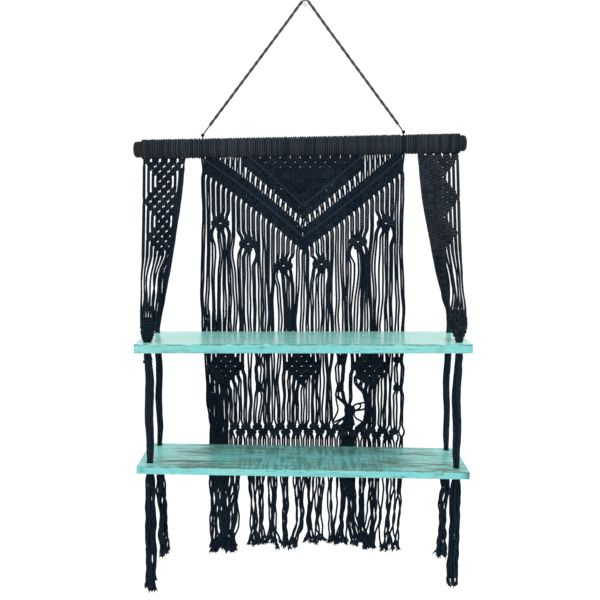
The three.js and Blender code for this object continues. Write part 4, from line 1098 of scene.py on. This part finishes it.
class HeadingOperator(Operator):
    """Wrap the mounted cords side by side round the dowel"""
    bl_idname = "shelf.wrap_dowel"
    bl_label = "Headings"

    def execute(self, context):
        cord = cord_size(context)
        for step, (name, (low, high)) in enumerate(HEADINGS.items()):
            twine = new_twine(context, 20 + step)
            count = round((high - low) / WRAP_STEP)
            pitch = (high - low) / count
            thick = min(cord, pitch / 2)
            for i in range(count):
                x = low + (i + 0.5) * pitch
                tied = min(abs(x - knot[0]) for knot in TIE_KNOTS.values()) < 3
                lean = twine.random.uniform(-0.5, 0.5)
                reach = (PRESSED_REACH if tied else WRAP_REACH) + twine.random.uniform(-0.25, 0.28)
                ring = [(x + lean * math.cos(a + 0.6), DOWEL_Y + reach * math.sin(a),
                         dowel_axis(x) + reach * math.cos(a)) for a in angles(22)]
                # Higher tones and the grey finish make the heading lighter: painted light from above
                twine.add(ring, thick * (0.8 if tied else 1.0), 6, (1, 0, 0), closed=True,
                          tone=twine.random.uniform(0.5, 1.5))
            dress_twine(context, twine, f"heading_{name}_wraps", f"heading_{name}", "grey")
        return {"FINISHED"}


class BackPanelOperator(Operator):
    """Hang the back panel's cords and tie its knots"""
    bl_idname = "shelf.knot_back_panel"
    bl_label = "Back panel"

    def execute(self, context):
        cord = cord_size(context)
        cords = new_twine(context, 30)
        self.hang_cords(cords, cord)
        self.thicken(cords, cord)
        dress_twine(context, cords, "back_panel_cords", "back_panel")
        knots = new_twine(context, 31)
        self.tie_net(knots)
        for lower in (0, 1):
            hitch_rows(knots, lower, cord)
        self.tie_diamonds(knots)
        self.tie_row(knots)
        self.tie_tangle(knots, cord)
        dress_twine(context, knots, "back_panel_knots", "back_panel")
        return {"FINISHED"}

    def hang_cords(self, twine, cord):
        random = twine.random
        for pair in range(BACK_PAIRS):
            middle = pair_x(pair)
            levels = down_steps(cloth_top(middle) + 6, ROW_FOOT - row_dip(middle), 5.5)
            slow = waver(random, levels, 1.5, (230, 130, 75))
            for side in (-1, 1):
                keys = back_keys(pair, side)
                held = np.array([key[0] for key in keys])
                free = np.clip(np.abs(levels[:, None] - held).min(1) / 30, 0, 1)
                free *= below(chevron(1, middle) - BAND_BELOW, 60, levels)
                loose = np.clip((-400 - levels) / 150, 0.55, 1.6)
                across = bunched(eased(levels, keys), levels)
                across += (slow + waver(random, levels, 0.9, (170, 90, 46))) * free * loose
                across += edge_shift(middle, levels)
                out = side * 0.7 + waver(random, levels, 1.0) * free
                path = np.stack([across, back_depth(levels) - out * np.clip(free + 0.4, 0, 1), levels], -1)
                twine.add(path, cord * 1.06, 6, tone=random.uniform(0.1, 0.75), start=random.uniform(0, 40))

    def thicken(self, twine, cord):
        """More cords where the panel hangs in dense bundles; each leaves from beside another."""
        random = twine.random
        for low, high, top, bottom, count in THICK:
            to_foot = bottom == ROW_FOOT
            for i in range(count):
                x = low + (i + 0.5) / count * (high - low)
                foot = bottom - row_dip(x) * to_foot
                levels = np.linspace(top, foot, round((top - foot) / 6) + 2)
                beside = BACK_X + PAIR_STEP * round((x - BACK_X) / PAIR_STEP) + WITHIN_PAIR
                keys = [(top, beside), (top - 26, x)]
                keys += [(foot, x)] if to_foot else [(foot + 26, x), (foot, beside)]
                across = eased(levels, keys) + waver(random, levels, 1.6) + edge_shift(x, levels)
                path = np.stack([across, back_depth(levels) - random.choice((-2.0, 1.8)), levels], -1)
                # Darker tones make the dense bundles darker: painted shade
                twine.add(path, cord, 6, tone=random.uniform(0, 0.4))

    def tie_net(self, twine):
        """The dense triangle of alternating knots above the upper chevron."""
        for row in range(12):
            z = cloth_top(0) - 3.0 - row * KNOT_ROW
            wide = 1.01 if row < 3 else 1.06
            for pair in range(row % 2, BACK_PAIRS - 1, 2):
                x = pair_x(pair) + PAIR_STEP / 2
                if abs(x - CHEVRON_X) < 122 and z > chevron(0, x) - 2:
                    square_knot(twine, on_back_panel(x, z), KNOT_WIDTH * wide, KNOT_ROW * 1.1,
                                1 if pair % 4 < 2 else -1)

    def tie_diamonds(self, twine):
        for cx, cz, _ in SMALL_DIAMONDS:
            for dx, dz in SMALL_KNOTS:
                square_knot(twine, on_back_panel(cx + dx, cz + dz), **KNOT_SIZES["small"])
        for cx, cz, wide in LARGE_DIAMONDS:
            for row in range(-3, 4):
                count = 4 - abs(row)
                for i in range(count):
                    dx = (i - (count - 1) / 2) * KNOT_WIDTH
                    square_knot(twine, on_back_panel(cx + dx, cz + row * LARGE_ROW), KNOT_WIDTH * wide,
                                LARGE_ROW * 1.13, deep=2.8)
        for cx, cz in SINGLE_KNOTS:
            square_knot(twine, on_back_panel(cx, cz), **KNOT_SIZES["single"])

    def tie_row(self, twine):
        """The two lines of knots across the foot."""
        for i in range(15):
            for level, offset in ((ROW_UPPER, 0), (ROW_LOWER, ROW_STEP / 2)):
                x = ROW_FROM + offset + ROW_STEP * i
                if x < ROW_TO:
                    place = on_back_panel(x, level - row_dip(x) + twine.random.uniform(-1, 1))
                    square_knot(twine, place, flip=1 if i % 2 else -1, **KNOT_SIZES["row"])

    def tie_tangle(self, twine, cord):
        """The loose knot of several cords with two thin loops on its right."""
        x, z = TANGLE
        middle = np.array([x, float(back_depth(z)) - 0.6, z])
        for i in range(7):
            tilt = i * 0.47
            tall = 9.5 * np.array([math.cos(tilt), 0.12, math.sin(tilt)])
            wide = 6.0 * np.array([-math.sin(tilt), 0.2, math.cos(tilt)])
            ring = [middle + tall * math.cos(a) + wide * math.sin(a) + (0, -2.4 * math.cos(2 * a), 0)
                    for a in angles(16)]
            twine.add(ring, cord * 1.15, 6, (0, 1, 0), closed=True, tone=0.3)
        for points in TANGLE_CORDS:
            path = smooth_line([(px, float(back_depth(pz)) - 1.8, pz) for px, pz in points], 3.0)
            twine.add(path, cord * 0.95, 6, tone=0.3)


class FringeOperator(Operator):
    """Comb the loose ends under the back panel into clumps"""
    bl_idname = "shelf.comb_fringe"
    bl_label = "Back fringe"

    def execute(self, context):
        cord = cord_size(context)
        twine = new_twine(context, 40)
        random = twine.random
        starts = [pair_x(pair) + side * WITHIN_PAIR for pair in range(BACK_PAIRS) for side in (-1, 1)]
        starts = sorted([*starts, *extra_starts(), *random.choice(starts, 24, replace=False)])
        for (low, high), board, gather, ends, height in FRINGE:
            group = [x for x in starts if low <= x < high]
            order = random.permutation(len(group))
            wide = min(0.5 * (gather[1] - gather[0]), 8)
            for i, start in enumerate(group):
                share = (i + 0.5) / len(group)
                start += edge_shift(start, ROW_FOOT)
                swapped = 0.55 * share + 0.45 * (order[i] + 0.5) / len(group)
                top = ROW_FOOT - row_dip(start) + 2
                bottom = height + random.uniform(0, 18)
                levels = down_steps(top, bottom, 5.5)
                at_board = 0.6 * (board[0] + share * (board[1] - board[0])) + 0.4 * start
                at_gather = gather[0] - wide + swapped * (gather[1] - gather[0] + 2 * wide)
                at_end = ends[0] + share * (ends[1] - ends[0])
                keys = ((top, start), (-898, at_board), (-1000 + random.uniform(-16, 16), at_gather),
                        (bottom, at_end))
                free = below(-850, 40, levels)
                across = straight(levels, keys) * 0.6 + eased(levels, keys) * 0.4
                across += waver(random, levels, 2.6, (110, 58, 30)) * free
                out = random.uniform(-1.0, 3.2) + waver(random, levels, 0.8) * free
                path = np.stack([across, BACK_REST_Y - out, levels], -1)
                tone = random.uniform(0, 0.5)
                twine.add(path, cord, 6, tone=tone, start=random.uniform(0, 40))
                frayed_end(twine, path, cord, tone, 12)
        dress_twine(context, twine, "back_fringe_cords", "back_fringe")
        return {"FINISHED"}


def side_net(z):
    """Middle and step of a side panel's net at a height, as shares across it."""
    down = SIDE_FIRST - z
    return 0.488 + 0.00077 * down, 0.215 + 0.00024 * down


class SidePanelOperator(Operator):
    """Knot the two side panels, their cones and their back rolls"""
    bl_idname = "shelf.knot_side_panels"
    bl_label = "Side panels"

    def execute(self, context):
        cord = cord_size(context)
        for step, (side, look) in enumerate(SIDE_LOOKS.items()):
            twine = new_twine(context, 50 + step)
            self.hang_cords(twine, side, look, SIDE_CORD * cord)
            self.fill_edge(twine, side, look, SIDE_CORD * cord)
            self.tie_knots(twine, side, look)
            self.wind_cone(twine, side, look, cord)
            dress_twine(context, twine, f"side_panel_{side}_cords", f"side_panel_{side}", look["finish"])
        return {"FINISHED"}

    def hang_cords(self, twine, side, look, cord):
        random = twine.random
        feet = SIDE_FEET[side]
        top = cloth_top(look["middle"]) + 6
        for k in range(SIDE_CORDS):
            pair, within = divmod(k, 2)
            keys = [(top, 0.02 + 0.96 * (k + 0.5) / SIDE_CORDS)]
            for z in np.arange(SIDE_FIRST + 4, SIDE_FOOT - 1, -SIDE_ROW):
                centre, step = side_net(z)
                share = centre + (pair - 4.5) * step / 2 + (within - 0.5) * 0.026
                keys.append((z + look["rise"], min(share, 0.975 - 0.012 * (SIDE_CORDS - 1 - k))))
            to_front = pair < len(feet)
            if to_front:
                bottom = -584
                keys += [(-500, feet[pair][0]), (-552, feet[pair][1])]
            else:
                bottom = -619
                order = (k - 2 * len(feet)) / (SIDE_CORDS - 2 * len(feet))
                inner = 0.66 + 0.32 * order
                if side == "right":
                    inner = 0.57 + 0.25 * order if order < 0.4 else 0.8 + 0.18 * order
                keys += [(-500, inner), (-560, 0.7 + 0.26 * order)]
            levels = down_steps(top, bottom, 5)
            shares = eased(levels, keys)
            loose = below(SIDE_FOOT, 30, levels)
            out = (0.7 if k % 2 else -0.7) + waver(random, levels, 0.8) * loose
            path = np.array([on_side_panel(side, s, n, z) for s, n, z in zip(shares, out, levels)])
            path[:, 0] += waver(random, levels, 0.7) * loose
            path[:, 1] += 2.2 * (-1) ** k * loose
            self.draw_to_hole(path, levels, look, k, len(feet), to_front)
            twine.add(path, self.radii(levels - look["rise"], shares, cord), 6,
                      tone=random.uniform(*look["cord_tones"]), start=random.uniform(0, 40))

    def radii(self, levels, shares, cord):
        """Thinner where a cord is held tight inside the knotted net, and a little so below it."""
        sizes = []
        for level, share in zip(levels, shares):
            row = round((SIDE_FIRST - level) / SIDE_ROW)
            centre, step = side_net(level)
            count = SIDE_COUNTS[row] if 0 <= row < len(SIDE_COUNTS) else 0
            if abs(share - centre) < count * step / 2:
                sizes.append(cord * SIDE_TIGHT)
            else:
                sizes.append(cord * SIDE_FREE if level < SIDE_FOOT else cord)
        return sizes

    def draw_to_hole(self, path, levels, look, k, pairs, to_front):
        """Leads the foot of a cord to the cone or into the back hole."""
        hole_x = BOARD_X + look["sign"] * HOLE_SPREAD
        if to_front:
            away = (1 - 2 * (k // 2) / (pairs - 1)) * MOUTH_ACROSS
            deep = math.sqrt(MOUTH_RADIUS ** 2 - away ** 2) * (1 if k % 2 else -1)
            target = np.array([hole_x + look["sign"] * away, MOUTH_Y + MOUTH_DEEP * deep])
            pull = below(look["cone_from"], 44, levels)
        else:
            spin = TURN * k * 0.37
            target = np.array([hole_x + BACK_HOLE_REACH * math.cos(spin),
                               BACK_HOLE_Y + BACK_HOLE_REACH * math.sin(spin)])
            pull = below(-545, 66, levels)
        pull = smooth_share(pull)[:, None]
        path[:, :2] = path[:, :2] * (1 - pull) + target * pull

    def fill_edge(self, twine, side, look, cord):
        """The dense band of cords on the inner edge, straight to the back hole."""
        random = twine.random
        hole_x = BOARD_X + look["sign"] * HOLE_SPREAD
        count = look["edge_count"]
        levels = np.linspace(look["edge_top"], -616, 60)
        for i in range(count):
            spread = look["edge_step"] * i
            meet = 0.014 * (i % 9)
            share = 0.985 - spread * (1 - 0.5 * below(-450, 50, levels))
            share = np.maximum(share, 0.985 - spread - meet * below(-460, 60, levels))
            if side == "right":
                slit = below(-458, 16, levels) * (1 - below(-515, 30, levels))
                share = share + slit * (0.3 * (0.985 - share) if i < 7 else -0.05)
            path = np.array([on_side_panel(side, s, 1.6 - 0.5 * (i % 7), z) for s, z in zip(share, levels)])
            pull = below(-500, 112, levels)[:, None] ** 1.6
            spin = TURN * i / count
            reach = 3.3 if i % 2 else 1.5
            target = np.array([hole_x + reach * math.cos(spin), BACK_HOLE_Y + reach * math.sin(spin)])
            path[:, :2] = path[:, :2] * (1 - pull) + target * pull
            path[:, 0] += waver(random, levels, 0.5)
            twine.add(path, cord, 6, tone=random.uniform(0.4, 1.1))

    def tie_knots(self, twine, side, look):
        for row, count in enumerate(SIDE_COUNTS):
            level = SIDE_FIRST - row * SIDE_ROW
            centre, step = side_net(level)
            tight = look["knot_width"] - look["narrow"] * row
            for i in range(count + look["more_knots"]):
                middle = centre + (i - (count - 1) / 2) * step
                low, high = max(middle - step / 2, 0.0), min(middle + step / 2, 0.97)
                if high - low < 0.09:
                    continue
                x = (low + high) / 2 * SIDE_WIDTH

                def place(across, out, up, x=x, z=level + look["rise"]):
                    return on_side_panel(side, (x + across) / SIDE_WIDTH, out, z + up)

                square_knot(twine, place, (high - low) * SIDE_WIDTH * tight, SIDE_ROW * 1.12,
                            1 if (row + i) % 2 else -1, twine.random.uniform(*look["knot_tones"]), deep=1.6)

    def wind_cone(self, twine, side, look, cord):
        """The cone over the front hole: a core, wound or knotted cord and the cords at its foot."""
        hole_x = BOARD_X + look["sign"] * HOLE_SPREAD
        levels, depths, *both = np.array(CONE).T
        radii = both[side == "right"]

        def cone_at(z):
            return np.interp(-z, -levels, depths), np.interp(-z, -levels, radii)

        fine = np.linspace(look["cone_top"], -619, 20)
        deep, core = cone_at(fine)
        # The core inside the cone gets the darkest tone: painted shade between the cords
        twine.add(np.stack([np.full(20, hole_x), deep, fine], -1), core - 2.9, 16, tone=0)
        if side == "left":
            self.wind_turns(twine, hole_x, cone_at)
        else:
            self.knot_rows(twine, hole_x, cone_at)
        zs = np.linspace(-606, -619.5, 6)
        deep, reach = cone_at(zs)
        reach = reach - 1.7
        for spin in angles(8):
            path = np.stack([hole_x + reach * math.cos(spin), deep + reach * math.sin(spin), zs], -1)
            twine.add(path, cord, 6)

    def wind_turns(self, twine, hole_x, cone_at):
        for z in np.arange(-575, -611, -4.4):
            depth, radius = cone_at(z)
            lean, phase = twine.random.uniform(-1.3, 1.3), twine.random.uniform(0, TURN)
            ring = level_ring(hole_x, depth, z, radius - 2.2, 24,
                              lambda a: lean * math.cos(a) + math.sin(3 * a + phase), 0.96)
            twine.add(ring, 2.6, 7, (0, 0, 1), closed=True, tone=twine.random.uniform(0, 0.5))

    def knot_rows(self, twine, hole_x, cone_at):
        for row, z in enumerate(np.arange(-560, -608, -6.6)):
            depth, radius = cone_at(z)
            radius -= 2.2
            count = max(4, round(TURN * radius / 10.5))
            for i in range(count):
                spin = TURN * (i + row % 2 / 2) / count

                def place(across, out, up, spin=spin, radius=radius, depth=depth, z=z):
                    angle = spin + across / radius
                    reach = radius - 1.2 + out * 0.8
                    x, y = hole_x + reach * math.cos(angle), depth + reach * math.sin(angle)
                    return np.array([x, y, z + up])

                square_knot(twine, place, **KNOT_SIZES["cone"])


class BoardOperator(Operator):
    """Saw, round and paint the two boards"""
    bl_idname = "shelf.paint_boards"
    bl_label = "Boards"

    def execute(self, context):
        for lower, name in enumerate(("upper_board", "lower_board")):
            mesh = bpy.data.objects[name].data.copy()
            mesh.name = f"{name}_painted"
            self.round_edges(mesh, context.scene.shelf_sizes.board_edge)
            self.store_places(mesh, lower)
            for face in mesh.polygons:
                face.use_smooth = face.area < 2e-4
            dress(context, f"{name}_painted", mesh, "board", name)
        return {"FINISHED"}

    def round_edges(self, mesh, width):
        form = bmesh.new()
        form.from_mesh(mesh)
        bmesh.ops.remove_doubles(form, verts=form.verts, dist=1e-6)
        bmesh.ops.dissolve_limit(form, angle_limit=0.02, verts=form.verts, edges=form.edges)
        sharp = [edge for edge in form.edges if edge.is_manifold and edge.calc_face_angle() > 0.8]
        bmesh.ops.bevel(form, geom=sharp, offset=width, segments=3, affect="EDGES", profile=0.5)
        bmesh.ops.triangulate(form, faces=[face for face in form.faces if len(face.verts) > 4])
        form.to_mesh(mesh)
        form.free()

    def store_places(self, mesh, lower):
        """Stores each point's place across, from the front edge and under the top, for the paint."""
        points = np.empty(len(mesh.vertices) * 3)
        mesh.vertices.foreach_get("co", points)
        x, y, z = points.reshape(-1, 3).T / MM
        places = np.stack([x, y - (BOARD_BACK - BOARD_DEPTH), board_top(lower, x) - z], -1)
        stored = mesh.attributes.new("board_place", "FLOAT_VECTOR", "POINT")
        stored.data.foreach_set("vector", places.ravel())
        stored = mesh.attributes.new("board_kind", "FLOAT", "POINT")
        stored.data.foreach_set("value", np.full(len(mesh.vertices), float(lower)))


class BundleOperator(Operator):
    """Gather the cords that join the two boards"""
    bl_idname = "shelf.gather_bundles"
    bl_label = "Bundles"

    def execute(self, context):
        step = 60
        for side, word in ((-1, "left"), (1, "right")):
            for where in ("front", "back"):
                twine = new_twine(context, step)
                step += 1
                self.gather(twine, side, where == "front", cord_size(context))
                name = f"bundle_{where}_{word}"
                dress_twine(context, twine, f"{name}_cords", name)
        return {"FINISHED"}

    def gather(self, twine, side, front, cord):
        random = twine.random
        x = BOARD_X + side * HOLE_SPREAD
        depth = FRONT_HOLE_Y if front else BACK_HOLE_Y
        top, bottom = UPPER_TOP - 7.4, board_top(True, x) - 7
        way = np.linspace(0, 1, 34)
        share, radius, sway = np.array(FRONT_BUNDLE if front else BACK_BUNDLE, float).T
        radii, sways = np.interp(way, share, radius), np.interp(way, share, sway)
        zs = top + (bottom - top) * way
        middle = x - side * 0.6 * sways + 1.5 * np.sin(TURN * way * 1.6 + side) * np.sin(math.pi * way)
        # The core inside the bundle gets the darkest tone: painted shade between the cords
        twine.add(np.stack([middle, np.full(34, depth), zs], -1), radii - 2.4, 10, tone=0)
        count, thick = (10, 1.1) if front else (8, 1.05)
        twist = random.uniform(0.5, 1.1) * random.choice((-1, 1))
        between_holes = np.clip(np.minimum(way, 1 - way) * 8, 0, 1)
        for i in range(count):
            angle = TURN * i / count + twist * way + waver(random, zs, 0.3)
            reach = radii - cord + np.abs(waver(random, zs, 0.8)) * between_holes
            path = np.stack([middle + reach * np.cos(angle), depth + reach * np.sin(angle), zs], -1)
            twine.add(path, cord * thick, 6, tone=random.uniform(0.1, 0.8))
        if side < 0:
            self.tie_knot(twine, x, depth, top + (bottom - top) * 0.115, 6.6 if front else 5.2, cord)

    def tie_knot(self, twine, x, depth, z, reach, cord):
        for i, lean in enumerate((2.0, 0.0)):
            ring = level_ring(x, depth, z - 3.4 * i, reach, 16, lambda a: lean * math.cos(a))
            twine.add(ring, cord * 1.15, 6, (0, 0, 1), closed=True)


class TasselOperator(Operator):
    """Tie the four tassels under the lower board"""
    bl_idname = "shelf.tie_tassels"
    bl_label = "Tassels"

    def execute(self, context):
        for step, (name, row) in enumerate(TASSELS.items()):
            twine = new_twine(context, 70 + step)
            self.hang_ends(twine, *row, cord_size(context))
            dress_twine(context, twine, f"tassel_{name}_cords", f"tassel_{name}")
        return {"FINISHED"}

    def hang_ends(self, twine, side, depth, end, spread, lean, cord):
        random = twine.random
        x = BOARD_X + side * HOLE_SPREAD
        top, under = board_top(True, x) - 7.3, board_top(True, x) - 14
        front = depth == FRONT_HOLE_Y
        neck, count, wander, opening = (5.0, 13, 2.4, 26) if front else (4.4, 10, 4.4, 60)
        for i in range(count):
            inner = i > 9
            bottom = end + random.uniform(0, 22)
            levels = down_steps(top, bottom, 6.5)
            way = (top - levels) / (top - bottom)
            hang = below(under - 2, opening, levels)
            hang = hang * (2 - hang)
            tied, open_reach = (neck - cord) * (0.4 if inner else 1), spread * (0.35 if inner else 0.82)
            reach = tied * (1 - hang) + open_reach * hang
            spin = TURN * i / (3 if inner else 10) + way * 0.7
            loose = below(under - 20, 30, levels)
            across = x + lean * way + reach * np.cos(spin) + waver(random, levels, wander) * loose
            deep = depth + reach * 0.8 * np.sin(spin) + waver(random, levels, 1.4) * loose
            path = np.stack([across, deep, levels], -1)
            tone = random.uniform(0, 0.6)
            twine.add(path, cord, 6, tone=tone)
            frayed_end(twine, path, cord, tone, 5)
        for i in range(2):
            ring = level_ring(x, depth, under - 4.2 - 2.4 * i, neck + 1.4, 16,
                              lambda a: 1.2 * math.cos(a + 2.1 * i))
            twine.add(ring, cord * 1.12, 6, (0, 0, 1), closed=True)


OPERATORS = (
    StageOperator, RopeOperator, TieOperator, NailOperator, DowelOperator, HeadingOperator,
    BackPanelOperator, FringeOperator, SidePanelOperator, BoardOperator, BundleOperator, TasselOperator,
)


class ShelfPanel(Panel):
    bl_idname = "VIEW3D_PT_macrame_shelf"
    bl_label = "Macrame shelf"
    bl_space_type = "VIEW_3D"
    bl_region_type = "UI"
    bl_category = "Shelf"

    def draw(self, context):
        layout = self.layout
        for group in (context.scene.shelf_sizes, context.scene.shelf_colours):
            for key in group.__annotations__:
                layout.prop(group, key)
        for operator in OPERATORS:
            layout.operator(operator.bl_idname)


CLASSES = (ShelfSizes, ShelfColours, *OPERATORS, ShelfPanel)


def register():
    for each in CLASSES:
        bpy.utils.register_class(each)
    bpy.types.Scene.shelf_sizes = PointerProperty(type=ShelfSizes)
    bpy.types.Scene.shelf_colours = PointerProperty(type=ShelfColours)


def unregister():
    del bpy.types.Scene.shelf_colours
    del bpy.types.Scene.shelf_sizes
    for each in reversed(CLASSES):
        bpy.utils.unregister_class(each)


def main():
    register()
    for operator in OPERATORS:
        group, name = operator.bl_idname.split(".")
        getattr(getattr(bpy.ops, group), name)()


if __name__ == "__main__":
    main()
